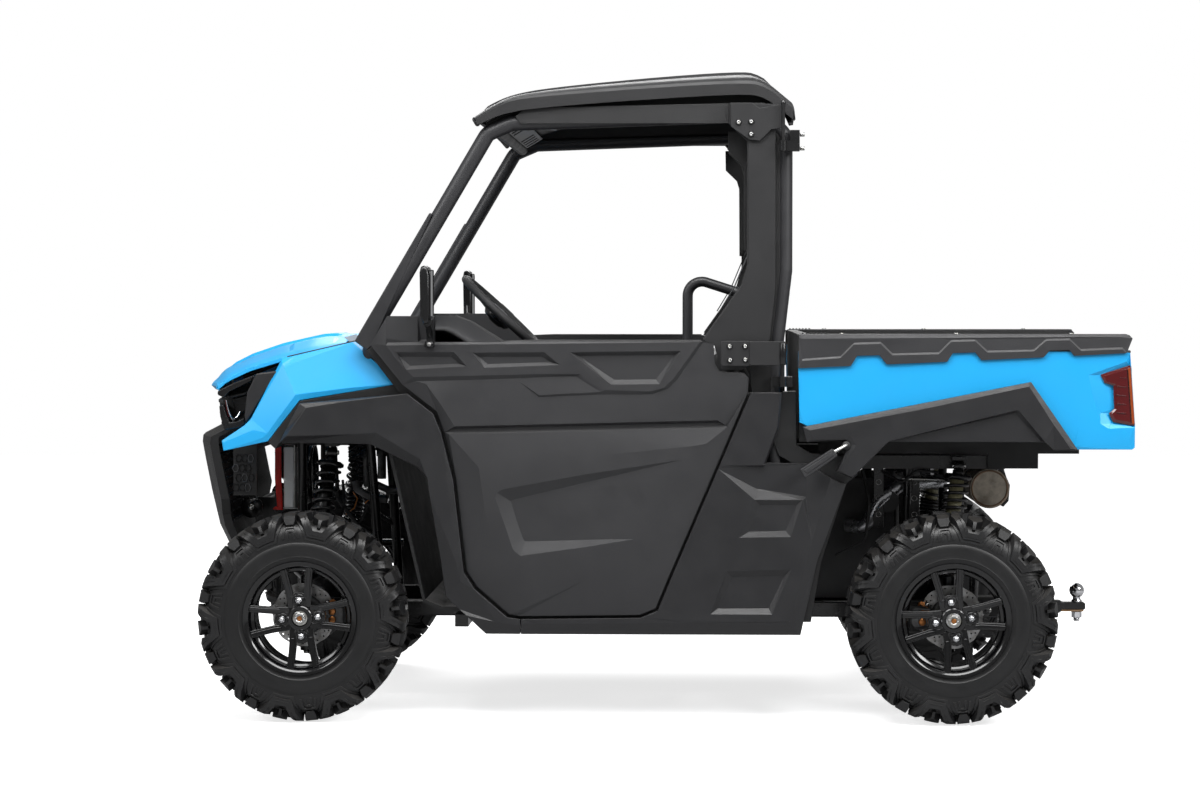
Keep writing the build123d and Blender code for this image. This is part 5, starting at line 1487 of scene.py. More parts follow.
def make_roof():
    l672 = chaikin([(532, 1803), (480, 1835), (425, 1860), (310, 1873), (43, 1893), (-257, 1910), (-330, 1902), (-417, 1830)])
    l600 = chaikin([(548, 1816), (500, 1848), (430, 1884), (312, 1900), (50, 1922), (-250, 1940), (-318, 1936), (-407, 1862)])
    l220 = chaikin([(570, 1838), (520, 1872), (445, 1900), (336, 1923), (57, 1953), (-252, 1975), (-320, 1967), (-404, 1888)])
    n = len(l672)
    cols = []
    for y in (0, 60, 66, 150, 156, 220, 300, 306, 400, 452, 462, 540, 600):
        k = max(0.0, (y - 220) / 380.0)
        row = []
        for i in range(n):
            x = l220[i][0] * (1 - k) + l600[i][0] * k
            z = l220[i][1] * (1 - k ** 1.5) + l600[i][1] * k ** 1.5
            t = i / (n - 1.0)
            inside = 0.16 < t < 0.86
            z += 7.0 * (1 - min(1.0, y / 220.0) ** 2)
            if y <= 452:
                z -= 0.0 if inside else 6.0
            else:
                z -= 6.0 if inside else 6.0
            if inside and (66 <= y <= 150 or 306 <= y <= 400):
                z -= 5.0                                              # long sunk panels between the ribs
            row.append((x, y, z))
        cols.append(row)
    for s in (0.25, 0.5, 0.75, 1.0):
        a = s * math.pi / 2
        row = []
        for i in range(n):
            kx = s
            x = l600[i][0] * (1 - kx) + l672[i][0] * kx
            z = (l600[i][1] - 6) + (l672[i][1] - l600[i][1] + 6) * (1 - math.cos(a))
            row.append((x, 600 + 72 * math.sin(a), z))
        cols.append(row)
    lip = [(x, 672, z - (16 + 17 * min(1.0, i / 9.0))) for i, (x, y, z) in enumerate(cols[-1])]
    cols.append(lip)
    under = [(x, 660, z) for x, y, z in lip]
    cols.append(under)
    bm = bmesh.new()
    full = [[(x, -y, z) for x, y, z in row] for row in reversed(cols[1:])] + cols
    vs = [[bm.verts.new(Vector(p) * MM) for p in row] for row in full]
    for a, b in zip(vs, vs[1:]):
        for i in range(n - 1):
            bm.faces.new([a[i], a[i + 1], b[i + 1], b[i]])
    roof = from_bm("roof_skin", bm, M["roof"])
    m = roof.modifiers.new("wall", "SOLIDIFY")
    m.thickness = 6 * MM
    m.offset = -1.0
    dirn = sum((p.normal.z for p in roof.data.polygons if abs(p.center.y) < 0.5), 0.0)
    if dirn < 0:
        bm = bmesh.new(); bm.from_mesh(roof.data)
        bmesh.ops.reverse_faces(bm, faces=bm.faces)
        bm.to_mesh(roof.data); bm.free()
        for p in roof.data.polygons:
            p.use_smooth = True
    smooth_by_angle(roof, 28)
    bits = [roof]
    # front visor lip, rear lip and the end walls
    bits.append(tube_mesh("roof_front_lip", [Vector((x, y, z)) for x, y, z in ((528, -664, 1790), (541, -600, 1807), (562, -220, 1830), (562, 220, 1830), (541, 600, 1807), (528, 664, 1790))],
                          8, M["roof"], 12))
    rear = ((-415, -668, 1828), (-405, -600, 1858), (-402, -220, 1882), (-402, 220, 1882), (-405, 600, 1858), (-415, 668, 1828))
    bm = bmesh.new()
    rows = [[bm.verts.new(Vector((x + dx, y, z + dz)) * MM) for x, y, z in rear] for dx, dz in ((0, 2), (-1, -20), (2, -44), (14, -46))]
    for a, b in zip(rows, rows[1:]):
        for i in range(5):
            bm.faces.new([a[i], a[i + 1], b[i + 1], b[i]])
    wall = from_bm("roof_rear_wall", bm, M["roof"])
    m = wall.modifiers.new("wall", "SOLIDIFY")
    m.thickness = 5 * MM
    bits.append(wall)
    return bits


def make_liner():
    bits = []
    lin = [(512, 1792), (464, 1820), (330, 1858), (57, 1882), (-264, 1896), (-330, 1888), (-390, 1832), (-387, 1822), (-325, 1874), (-262, 1882), (57, 1868), (330, 1844),
           (458, 1808), (506, 1782)]
    bits.append(prism_y("roof_lining", lin, -596, 596, M["dark"], 2))
    # sloping header panel with lengthwise slots, and the driver's grey visor behind it
    a, b = Vector((400, 0, 1810)), Vector((462, 0, 1773))
    up = Vector((b.z - a.z, 0, a.x - b.x)).normalized() * -1
    if up.z < 0:
        up = -up
    q = [a, b, b + up * 4, a + up * 4]
    bits.append(prism_y("header_panel", [(v.x, v.z) for v in q], -566, 566, M["header_grey"], 1))
    for k in range(-5, 6):
        if abs(k) < 2:
            continue
        c0, c1 = a.lerp(b, 0.16), a.lerp(b, 0.80)
        q = [c0 - up * 1.2, c1 - up * 1.2, c1 + up * 2, c0 + up * 2]
        bits.append(prism_y(f"header_slot{k}", [(v.x, v.z) for v in q], k * 98 - 20, k * 98 + 20, M["dark"], 0))
    bits.append(prism_y("header_flange", [(462, 1773), (470, 1756), (474, 1757), (467, 1775)], -566, 566, M["door"], 1))
    bits.append(prism_y("visor", [(324, 1806), (361, 1809), (361, 1815), (324, 1812)], 0, 500, M["header_grey"], 2))
    for s in (-1, 1):
        bits.append(prism_y("roof_infill", [(500, 1780), (402, 1810), (284, 1814), (-325, 1822), (-385, 1750), (-385, 1842), (-330, 1888), (-257, 1896), (43, 1880), (303, 1858), (420, 1842), (506, 1796)],
                            s * 613 - 4, s * 613 + 4, M["dark"], 1))
        # near-black strip over the cage tube under the roof's side lip: painted shade, standing in for the shadow that
        # tube lies in
        strip = [(400, 1790), (416, 1812), (384, 1838), (-330, 1852), (-345, 1830), (-330, 1790)]
        bits.append(prism_y("roof_side_shade_strip", strip, s * 657 - 3, s * 657 + 3, M["vinyl"], 1.5))
        # rubber seal along the roof rail
        bits.append(tube_mesh("roof_rail_seal", [Vector((488, s * 604, 1786)), Vector((425, s * 604, 1804)), Vector((-325, s * 604, 1822)), Vector((-372, s * 604, 1766))], 7, M["rubber"], 10))
    return bits


def make_post_trim():
    """Left side only: dark filler between the door's rear plate and the rear post, clamp bolts, belt."""
    bits = []
    bits.append(prism_y("post_filler", [(-338, 1850), (-384, 1838), (-384, 1352), (-374, 1250), (-366, 1160), (-364, 985), (-292, 985), (-284, 1050), (-300, 1110), (-336, 1160), (-344, 1300)],
                        612, 652, M["dark"], 2))
    bits.append(prism_y("post_inner", [C(1110, 368, 600), C(1112, 466, 600), C(1168, 520, 600), C(1180, 560, 600), C(1182, 900, 600), C(1230, 900, 600), C(1230, 368, 600)], 588, 606, M["dark"], 2))
    for x, z in ((-437, 1714), (-437, 1755)):
        bits.append(revolved("clamp_bolt", [(0, -7), (5.2, -7), (6.0, -6), (6.0, 6), (5.2, 7), (0, 7)], (x - 3, 684, z), (1, 0, 0), M["zinc"], seg=16))
    bits.append(revolved("hinge_pin", [(0, -80), (4.6, -80), (5.4, -78), (5.4, 60), (7.5, 62), (7.5, 68), (5, 76), (0, 77)], (-383, 706, 1781), (0, 0, 1), M["frame"], seg=20))
    # belt webbing from the post to the seat side, with its guide
    pts = [Vector((-338, 598, 1600)), Vector((-300, 594, 1450)), Vector((-240, 585, 1305)), Vector((-192, 570, 1225))]
    bm = bmesh.new()
    rows = []
    for i, p in enumerate(pts):
        d = (pts[min(i + 1, 3)] - pts[max(i - 1, 0)]).normalized()
        w = Vector((0, 1, 0)).cross(d).normalized()
        w = (w * 0.05 + Vector((0, 1, 0)) * 0.99).normalized() * 22
        rows.append([bm.verts.new((p + w) * MM), bm.verts.new((p - w) * MM)])
    for a, b in zip(rows, rows[1:]):
        bm.faces.new([a[0], a[1], b[1], b[0]])
    belt = from_bm("belt", bm, M["belt"])
    m = belt.modifiers.new("wall", "SOLIDIFY")
    m.thickness = 1.6 * MM
    bits.append(belt)
    bits.append(box_mesh("belt_guide", -352, -326, 574, 606, 1588, 1622, M["smooth_black"], 3, 3))
    return bits


def make_door_hinge_leaves():
    bits = []
    up = [C(1120, 240), C(1215, 240), C(1250, 264), C(1334, 248), C(1348, 250), C(1348, 352), C(1302, 360), C(1252, 410), C(1206, 405), C(1166, 378), C(1122, 346)]
    bits.append(prism_y("hinge_leaf_up", up, 684, 691, M["roof"], 1.6, 2))
    for cx, cy in ((1157, 327), (1213, 325), (1213, 380)):
        x, z = C(cx, cy, 692)
        bits.append(revolved("leaf_washer", [(0, 0), (9, 0), (9, 1.6), (0, 1.6)], (x, 691, z), (0, 1, 0), M["smooth_black"], seg=20))
        bits.append(revolved("leaf_bolt", [(0, 1), (6.4, 1), (6.6, 5), (5.0, 7.6), (2.6, 8), (2.4, 5.5), (0, 5.5)], (x, 691, z), (0, 1, 0), M["zinc"], seg=18))
    lo = [(-199, 1137), (-203, 1142), (-282, 1142), (-287, 1138), (-287, 1072), (-282, 1068), (-204, 1068), (-199, 1073)]
    bits.append(prism_y("hinge_leaf_low", lo, 699, 706, M["roof"], 1.6, 2))
    for u, v in ((729.7, 346.3), (745.1, 346.3), (730, 360.3), (745.3, 359.6)):
        x, z = P(u, v, 708)
        bits.append(revolved("leaf_washer2", [(0, 0), (9, 0), (9, 1.4), (0, 1.4)], (x, 706, z), (0, 1, 0), M["smooth_black"], seg=20))
        bits.append(revolved("leaf_bolt2", [(0, 1), (6.2, 1), (6.4, 4.6), (4.8, 7), (2.6, 7.4), (2.4, 5), (0, 5)], (x, 706, z), (0, 1, 0), M["zinc"], seg=18))
    bits.append(prism_y("hinge_strap", [(-284, 1141), (-390, 1141), (-394, 1137), (-394, 1074), (-390, 1070), (-284, 1070)], 702, 709, M["roof"], 1.6, 2))
    bits.append(revolved("hinge_knuckle", [(0, -32), (9.2, -32), (10, -31), (10, 31), (9.2, 32), (0, 32)], (-383, 706, 1105), (0, 0, 1), M["smooth_black"], seg=24))
    return bits


put(join("roof_visual", make_roof()), "chassis", "roof_plastic", "roof")
put(join("roof_lining_visual", make_liner()), "chassis")
both_sides(join("post_trim_visual", make_post_trim()), "post_trim_visual", "chassis")
both_sides(join("door_hinge_leaf_visual", make_door_hinge_leaves()), "door_hinge_leaf_visual", "door_left", "door_right")
# ---------------------------------------------------------------- cabin
def make_steering_wheel():
    c = Vector((478, 350, 1225))
    ax = Vector((-0.682, 0, 0.731)).normalized()
    bits = []
    prof = [(150 + 14 * math.cos(t), 13 * math.sin(t)) for t in [2 * math.pi * k / 18 for k in range(18)]]
    bits.append(revolved("sw_rim", prof, tuple(c), tuple(ax), M["grip"], seg=72))
    u = Vector((0, 1, 0))
    v = ax.cross(u).normalized()
    bm = bmesh.new()
    for ang, w in ((0, 15), (180, 15), (270, 17)):
        a = math.radians(ang)
        d = u * math.cos(a) + v * math.sin(a)
        t = ax.cross(d)
        rows = []
        for r, hw, h in ((34, w + 9, -20), (70, w + 2, -15), (110, w - 3, -6), (146, w, 0)):
            p = c + d * r + ax * h
            rows.append([bm.verts.new((p + t * hw * k1 + ax * 4.5 * k2) * MM) for k1, k2 in ((1, 1), (-1, 1), (-1, -1), (1, -1))])
        for r1, r2 in zip(rows, rows[1:]):
            for i in range(4):
                j = (i + 1) % 4
                bm.faces.new([r1[i], r1[j], r2[j], r2[i]])
        bm.faces.new(rows[0][::-1])
        bm.faces.new(rows[-1])
    sp = from_bm("sw_spokes", bm, M["smooth_black"])
    bevel(sp, 2.5, 2, 20)
    bits.append(sp)
    bits.append(revolved("sw_pad", [(0, -2), (22, -3), (38, -6), (46, -13), (48, -24), (40, -34), (26, -40), (0, -40)], tuple(c), tuple(ax), M["smooth_black"], seg=40))
    for ang in (0, 180):
        a = math.radians(ang)
        d = u * math.cos(a)
        bits.append(tube_mesh("sw_stitch", [c + d * 150 + ax * 13 + v * k for k in (-26, -9, 9, 26)], 1.2, M["stitch"], 6))
    return bits


put(join("steering_wheel_visual", make_steering_wheel()), "steering_wheel", "grip_rubber", "steering_wheel")


def cushion_slab(name, x0, x1, y0, y1, z0, z1, r):
    """Rounded block that the cloth run puffs up."""
    bm = bmesh.new()
    res = bmesh.ops.create_cube(bm, size=1.0)
    for v in bm.verts:
        v.co = Vector(((x0 + x1) / 2 + v.co.x * (x1 - x0), (y0 + y1) / 2 + v.co.y * (y1 - y0), (z0 + z1) / 2 + v.co.z * (z1 - z0))) * MM
    bmesh.ops.bevel(bm, geom=bm.edges[:], offset=r * MM, segments=3, profile=0.6, affect="EDGES")
    return from_bm(name, bm, M["vinyl"])


def puff(ob, voxel=6.0, pressure=4.0, frames=20):
    """Blows the shape up as sewn cloth, as a foam cushion under its cover looks."""
    rm = ob.modifiers.new("remesh", "REMESH")
    rm.mode = "VOXEL"
    rm.voxel_size = voxel * MM
    bpy.context.view_layer.objects.active = ob
    ob.select_set(True)
    bpy.ops.object.modifier_apply(modifier="remesh")
    cl = ob.modifiers.new("cloth", "CLOTH")
    st = cl.settings
    st.quality = 5
    st.mass = 0.3
    st.tension_stiffness = 18
    st.compression_stiffness = 18
    st.shear_stiffness = 8
    st.bending_stiffness = 4
    st.use_pressure = True
    st.uniform_pressure_force = pressure
    st.effector_weights.gravity = 0.0
    cl.point_cache.frame_start = 1
    cl.point_cache.frame_end = frames
    for f in range(1, frames + 1):
        SCN.frame_set(f)
    bpy.ops.object.modifier_apply(modifier="cloth")
    SCN.frame_set(1)
    ob.select_set(False)
    for p in ob.data.polygons:
        p.use_smooth = True


def make_seat(side):
    bits = []
    seat = cushion_slab("seat_squab", -150, 380, 26, 545, 600, 688, 26)
    back = cushion_slab("seat_rest", -40, 40, 28, 542, -222, 216, 24)
    puff(seat)
    puff(back)
    # the rest leans back with the seat
    R = Matrix.Rotation(math.radians(-8.5), 4, "Y")
    back.data.transform(Matrix.Translation(Vector((-190, 0, 898)) * MM) @ R)
    for o in (seat, back):
        for v in o.data.vertices:          # stays inside the cushion's envelope
            v.co.z = max(v.co.z, 0.586)
    bits += [seat, back]
    for y in (150, 285, 420):
        bits.append(tube_mesh("seat_seam", [Vector((x, y, z)) for x, z in ((370, 696), (300, 701), (120, 702), (-60, 701), (-140, 694))], 1.6, M["stitch"], 6))
    bits.append(tube_mesh("seat_piping", [Vector(p) for p in rounded_path([(-150, 34, 652), (386, 34, 652), (386, 538, 652), (-150, 538, 652)], 26)], 3.0, M["vinyl_grey"], 8, closed=True))
    bits.append(box_mesh("seat_pan", -150, 372, 30, 540, 584, 604, M["dark"], 6, 3))
    bits.append(box_mesh("seat_shell", -262, -230, 44, 528, 640, 1080, M["dark"], 8, 3))
    for o in bits:
        if o.type == "MESH" and side < 0:
            pass
    return bits


st = make_seat(1)
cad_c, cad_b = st[0], st[1]
st[0].name, st[1].name = "seat_cushion_visual", "seat_back_visual"
both_sides(st[0], "seat_cushion_visual", "chassis", "chassis", ("seat_cushion",), ("seat_cushion",))
both_sides(st[1], "seat_back_visual", "chassis", "chassis", ("seat_back",), ("seat_back",))
both_sides(join("seat_trim_visual", st[2:]), "seat_trim_visual", "chassis", "chassis")


def make_dash_detail():
    bits = []
    # instrument pod, glove box outline, switches, cup holders, pedals
    bits.append(prism_y("dash_pod", [(700, 1139), (640, 1148), (628, 1175), (640, 1196), (700, 1200), (760, 1176), (790, 1139)], 270, 430, M["smooth_black"], 5, 3))
    bits.append(box_mesh("dash_screen", 634, 640, 292, 408, 1152, 1190, M["mirror"], 1.5))
    for k in range(4):
        bits.append(box_mesh(f"dash_switch{k}", 641, 648.5, -30 + k * 40, -6 + k * 40, 1040, 1076, M["smooth_black"], 2, 2))
    ring = rounded_path([(646, -430, 960), (646, -150, 960), (646, -150, 1090), (646, -430, 1090)], 18)
    bits.append(tube_mesh("glove_line", [Vector(p) for p in ring], 2.2, M["smooth_black"], 8, closed=True))
    for y in (-60, 60):
        bits.append(revolved("vent_ring", [(24, -3), (32, -3), (33, 2), (24, 3)], (646, y, 1105), (1, 0, 0), M["smooth_black"], seg=28))
    for y, z in ((300, 470), (390, 455)):
        bits.append(tube_mesh("pedal_arm", [Vector((690, y, 760)), Vector((640, y, 600)), Vector((618, y, z))], 6, M["frame"], 10))
        bits.append(box_mesh("pedal_pad", 606, 616, y - 28, y + 28, z - 34, z + 34, M["rubber"], 2.5))
    for s in (-1, 1):
        bits.append(box_mesh("dash_tray", 640, 652, s * 250 - 60, s * 250 + 60, 1000, 1010, M["smooth_black"], 2))
    # gear selector
    bits.append(tube_mesh("gear_stick", [Vector((640, 180, 1000)), Vector((596, 186, 1030)), Vector((574, 190, 1060))], 6, M["zinc"], 12))
    bits.append(revolved("gear_knob", [(0, -16), (10, -14), (15, -6), (16, 4), (12, 13), (0, 17)], (568, 190, 1072), (0, 0, 1), M["grip"], seg=24))
    return bits


put(join("dash_detail_visual", make_dash_detail()), "chassis")
# ---------------------------------------------------------------- chassis details
def paint(mat, *nodes, bev=0.0, seg=2, angle=30):
    """Gives a CAD piece its material, and a small round on its edges."""
    for n in nodes:
        ob = NODES.get(n) if hasattr(NODES, "get") else bpy.data.objects.get(n)
        if ob is None:
            continue
        me = ob.data
        if not me.materials:
            me.materials.append(M[mat])
        else:
            for i in range(len(me.materials)):
                me.materials[i] = M[mat]
        if bev:
            bevel(ob, bev, seg, angle)


def helix(a, b, r, turns, wire, name, mat, steps=20, t0=0.0):
    a, b = Vector(a), Vector(b)
    d = (b - a)
    ln = d.length
    d.normalize()
    u = d.orthogonal().normalized()
    v = d.cross(u)
    n = int(turns * steps)
    pts = []
    for i in range(n + 1):
        t = 2 * math.pi * i / steps + t0
        rr = r(i / n) if callable(r) else r
        pts.append(a + d * (ln * i / n) + (u * math.cos(t) + v * math.sin(t)) * rr)
    return tube_mesh(name, pts, wire, mat, 8)


def make_shock(low, top, r, pale):
    bits = []
    a, b = Vector(low), Vector(top)
    d = (b - a).normalized()
    ln = (b - a).length
    ax = tuple(d)

    def rev(name, prof, at, mat, seg=32):
        bits.append(revolved(name, prof, tuple(a + d * at), ax, mat, seg=seg))
    # eyes with their bushes
    for p, nm in ((a, "low"), (b, "top")):
        bits.append(revolved(f"shock_eye_{nm}", [(7, -15), (15, -15), (17, -12), (17, 12), (15, 15), (7, 15)], tuple(p), (1, 0, 0), M["frame"], seg=28))
        bits.append(revolved(f"shock_bolt_{nm}", [(0, -21), (6.5, -21), (7, -19), (7, 19), (6.5, 21), (0, 21)], tuple(p), (1, 0, 0), M["zinc"], seg=18))
    # rod, lower seat, cover rings, coil, upper seat, body
    rev("shock_rod", [(0, 10), (9, 12), (9, ln * 0.42), (0, ln * 0.42)], 0, M["smooth_black"])
    rev("shock_clevis", [(0, 14), (13, 14), (15, 20), (15, 44), (11, 50), (0, 50)], 0, M["frame"])
    rev("shock_seat_low", [(9, 56), (r - 8, 56), (r + 1, 60), (r + 2, 66), (r - 4, 70), (9, 70)], 0, M["smooth_black"])
    rev("shock_seat_top", [(9, ln - 44), (r - 4, ln - 44), (r + 2, ln - 40), (r + 2, ln - 32), (r - 8, ln - 26), (9, ln - 26)], 0, M["smooth_black"])
    rev("shock_body", [(0, ln * 0.36), (20, ln * 0.36), (22, ln * 0.38), (22, ln - 30), (0, ln - 30)], 0, pale)
    rev("shock_head", [(0, ln - 30), (17, ln - 30), (17, ln - 14), (0, ln - 14)], 0, M["frame"])
    mid = 66 + (ln - 110) * 0.36
    bits.append(helix(a + d * 72, a + d * mid, r - 7, 5.6, 5.0, "shock_coil_dense", M["coil"]))
    bits.append(helix(a + d * mid, a + d * (ln - 46), r - 7, 5.2, 5.4, "shock_coil", M["coil"], t0=5.6 * 2 * math.pi))
    rev("shock_divider", [(21, mid - 3), (r - 2, mid - 3), (r - 1, mid), (r - 2, mid + 3), (21, mid + 3)], 0, M["smooth_black"])
    return bits


sh = []
sh += make_shock((1050, 450, 462), (1000, 400, 792), 40, M["smooth_black"])
M["cream"] = surface("damper_cream", hexc("8F8A6C"), 0.4, vary=0.06, grain=0.1)
sh += make_shock((-893, 450, 462), (-930, 420, 756), 42, M["cream"])
both_sides(join("shock_visual", sh), "shock_visual", "chassis", "chassis", ("shocks",), ("shocks",))


def make_radiator():
    bits = []
    for s in (-1, 1):
        bits.append(box_mesh("rad_tank", 1144, 1177, min(s * 188, s * 224), max(s * 188, s * 224), 608, 803, M["tank_grey"], 6, 4))
        bits.append(box_mesh("rad_tank_mid", 1143, 1178, min(s * 186, s * 225), max(s * 186, s * 225), 694, 699, M["tank_grey"], 1.5, 2))
    bits.append(box_mesh("rad_core", 1142, 1166, -190, 190, 612, 800, M["engine"], 1))
    for k in range(24):
        z = 618 + k * 7.6
        bits.append(box_mesh(f"rad_fin{k}", 1165, 1169, -188, 188, z, z + 2.4, M["alu"], 0))
    bits.append(box_mesh("rad_frame_top", 1130, 1178, -225, 225, 799, 806, M["smooth_black"], 2))
    bits.append(box_mesh("rad_frame_low", 1130, 1178, -225, 225, 604, 610, M["alu"], 2, 2))
    for s in (-1, 1):
        bits.append(prism_y("rad_red_side", [(1180, 606), (1198, 604), (1205, 700), (1204, 803), (1184, 803), (1184, 700)], s * 220.5 - 6, s * 220.5 + 6, M["red_strip"], 4, 3))
        bits.append(prism_y("rad_red_rib", [(1188, 612), (1192, 612), (1198, 702), (1197, 800), (1191, 800), (1192, 702)], s * 220.5 - 7, s * 220.5 + 7, M["red_strip"], 1, 2))
        bits.append(prism_y("rad_red_foot", [(1180, 600), (1210, 601), (1211, 606), (1204, 612), (1180, 610)], s * 220.5 - 7, s * 220.5 + 7, M["red_strip"], 2, 2))
        bits.append(box_mesh("rad_back_rail", 1130, 1142, s * 218 - 7, s * 218 + 7, 606, 806, M["smooth_black"], 1.5))
        bits.append(box_mesh("rad_back_edge", 1140, 1144, s * 218 - 7.5, s * 218 + 7.5, 606, 806, M["steel"], 0.8))
    bits.append(revolved("rad_cap", [(0, 8), (16, 8), (18, 5), (18, -2), (14, -4), (0, -4)], (1150, 120, 807), (0, 0, 1), M["zinc"], seg=28))
    fan = revolved("rad_fan", [(0, -6), (30, -6), (30, 6), (0, 6)], (1122, 0, 705), (1, 0, 0), M["smooth_black"], seg=32)
    bits.append(fan)
    for k in range(7):
        a = 2 * math.pi * k / 7
        t = Vector((0.35, -math.sin(a), math.cos(a)))
        d = Vector((0, math.cos(a), math.sin(a)))
        c = Vector((1120, 0, 705))
        p = [c + d * 28 + t * 10, c + d * 84 + t * 24, c + d * 86 - t * 14, c + d * 28 - t * 10]
        bits.append(new_mesh(f"fan_blade{k}", [tuple(q) for q in p] + [tuple(q + Vector((2.2, 0, 0))) for q in p],
                             [(0, 1, 2, 3), (7, 6, 5, 4), (0, 4, 5, 1), (1, 5, 6, 2), (2, 6, 7, 3), (3, 7, 4, 0)], M["smooth_black"]))
    bits.append(revolved("fan_shroud", [(88, -14), (94, -14), (94, 12), (88, 12)], (1120, 0, 705), (1, 0, 0), M["smooth_black"], seg=48))
    return bits


put(join("radiator_visual", make_radiator()), "chassis", "radiator_metal", "radiator")


def boot(name, a, b, r0, r1, rings, mat):
    """Ribbed rubber boot between two points."""
    a, b = Vector(a), Vector(b)
    d = b - a
    ln = d.length
    prof = [(0, 0)]
    for i in range(rings * 2 + 1):
        t = i / (rings * 2.0)
        r = r0 + (r1 - r0) * t
        prof.append((r + (3.0 if i % 2 else -1.5), ln * t))
    prof.append((0, ln))
    return revolved(name, prof, tuple(a), tuple(d.normalized()), mat, seg=28)


def make_underside():
    """Left-hand boots, ball joints, hoses, brackets and small hardware."""
    bits = []
    for ax_x, oy in ((1055, 560), (-889, 524)):
        a, b = Vector((ax_x, 125, 372)), Vector((ax_x, oy, 315))
        d = (b - a).normalized()
        bits.append(boot("shaft_boot", a + d * 66, a + d * 150, 34, 16, 6, M["rubber"]))
        bits.append(boot("shaft_boot_outer", b - d * 60, b - d * 138, 33, 16, 6, M["rubber"]))
        bits.append(revolved("boot_clamp", [(35, -3), (36.5, -3), (36.5, 3), (35, 3)], tuple(b - d * 58), tuple(d), M["zinc"], seg=28))
    for x, y, z in ((1055, 598, 230), (1055, 598, 402), (-889, 560, 230), (-889, 560, 402)):
        s = 1 if z < 300 else -1
        bits.append(revolved("ball_boot", [(0, -3), (16, -3), (17, 2), (13.5, 7), (15.5, 9), (11, 12), (0, 12)], (x, y, z + (2 if s > 0 else -2)), (0, 0, s), M["rubber"], seg=24))
    # tie-rod end and steering hardware seen behind the front wheel
    bits.append(revolved("arm_nut", [(0, -2), (9, -2), (9.6, 4), (7, 9), (0, 9)], (1055, 598, 196), (0, 0, 1), M["zinc"], seg=18))
    # coiled hose, grey reservoir, silver pipe and hose behind the front shock
    bits.append(helix((965, 130, 662), (968, 130, 806), 12, 9, 4.2, "coil_hose", M["rubber"], steps=14))
    bits.append(helix((1015, 236, 690), (1017, 236, 806), 9, 8, 3.4, "coil_hose2", M["rubber"], steps=14))
    bits.append(revolved("reservoir", [(0, -48), (13, -48), (14.5, -45), (14.5, 26), (18, 28), (18, 46), (15, 50), (0, 50)], (912, 200, 722), (0, 0, 1), M["cast"], seg=28))
    bits.append(revolved("reservoir_cap", [(0, 46), (20, 46), (21, 49), (21, 64), (17, 68), (0, 68)], (912, 200, 722), (0, 0, 1), M["dark"], seg=28))
    bits.append(tube_mesh("silver_pipe", [Vector(p) for p in rounded_path([(952, 190, 690), (948, 195, 664), (890, 210, 636), (850, 215, 634)], 20)], 12, M["cast"], 16))
    bits.append(tube_mesh("brake_hose", [Vector(p) for p in rounded_path([(980, 300, 700), (970, 340, 630), (985, 390, 560), (1015, 425, 505), (1046, 432, 466)], 20)], 4.4, M["rubber"], 10))
    bits.append(tube_mesh("brake_pipe", [Vector(p) for p in rounded_path([(955, 240, 660), (940, 245, 640), (950, 250, 610), (975, 260, 590)], 10)], 2.6, M["copper"], 8))
    bits.append(tube_mesh("loom", [Vector(p) for p in rounded_path([(1010, 262, 800), (1000, 262, 640), (940, 262, 560), (880, 262, 520)], 40)], 7, M["rubber"], 10))
    # front gearcase and steering rack bracketry
    bits.append(prism_y("gearcase", [(1010, 300), (1010, 420), (1035, 452), (1080, 452), (1105, 420), (1105, 300)], -105, 118, M["engine"], 12, 3))
    bits.append(box_mesh("rack_bracket", 915, 955, 120, 150, 318, 392, M["frame"], 3))
    for x in (868, 1110):
        bits.append(revolved("mount_bolt", [(0, 0), (9, 0), (9.6, 2), (8, 7), (0, 8)], (x, 304, 455), (0, 1, 0), M["zinc"], seg=18))
    for x in (1055 - 125, 1055 + 125, -889 - 125, -889 + 125):
        bits.append(revolved("pivot_eye", [(0, -22), (15, -22), (17, -20), (17, 20), (15, 22), (0, 22)], (x, 296, 300), (1, 0, 0), M["frame"], seg=22))
        bits.append(revolved("pivot_bolt", [(0, -28), (7, -28), (7.6, -26), (7.6, 26), (7, 28), (0, 28)], (x, 296, 300), (1, 0, 0), M["zinc"], seg=16))
    # bed pivot bolt
    bits.append(revolved("bed_pivot_bolt", [(0, 0), (13, 0), (14, 2), (12, 9), (7, 12), (0, 12)], (-1049, 372, 763), (0, 1, 0), M["zinc"], seg=24))
    # heat shield wrapped pipe and cables forward of the rear shock
    bits.append(tube_mesh("foil_pipe", [Vector(p) for p in rounded_path([(-600, 250, 560), (-655, 300, 560), (-690, 320, 640), (-760, 300, 690), (-900, 250, 700)], 50)], 21, M["foil"], 20))
    bits.append(tube_mesh("shift_cable", [Vector(p) for p in rounded_path([(-640, 330, 740), (-660, 350, 640), (-650, 340, 520), (-560, 300, 470)], 40)], 5, M["rubber"], 10))
    bits.append(tube_mesh("rear_hose", [Vector(p) for p in rounded_path([(-700, 345, 735), (-760, 380, 700), (-800, 400, 740), (-870, 380, 735)], 26)], 4.5, M["rubber"], 10))
    bits.append(tube_mesh("rear_link", [Vector((-760, 352, 712)), Vector((-930, 352, 706))], 7, M["zinc"], 12))
    bits.append(tube_mesh("cross_can", [Vector((-720, 120, 640)), Vector((-720, 330, 640))], 34, M["engine"], 28))
    for x in (-690, -800):
        bits.append(box_mesh("upright_plate", x - 16, x + 16, 326, 334, 560, 744, M["frame"], 2))
        for z in (600, 650, 700):
            bits.append(revolved("plate_hole", [(7, -0.6), (9, -0.6), (9, 0.6), (7, 0.6)], (x, 334.4, z), (0, 1, 0), M["steel"], seg=18))
    return bits


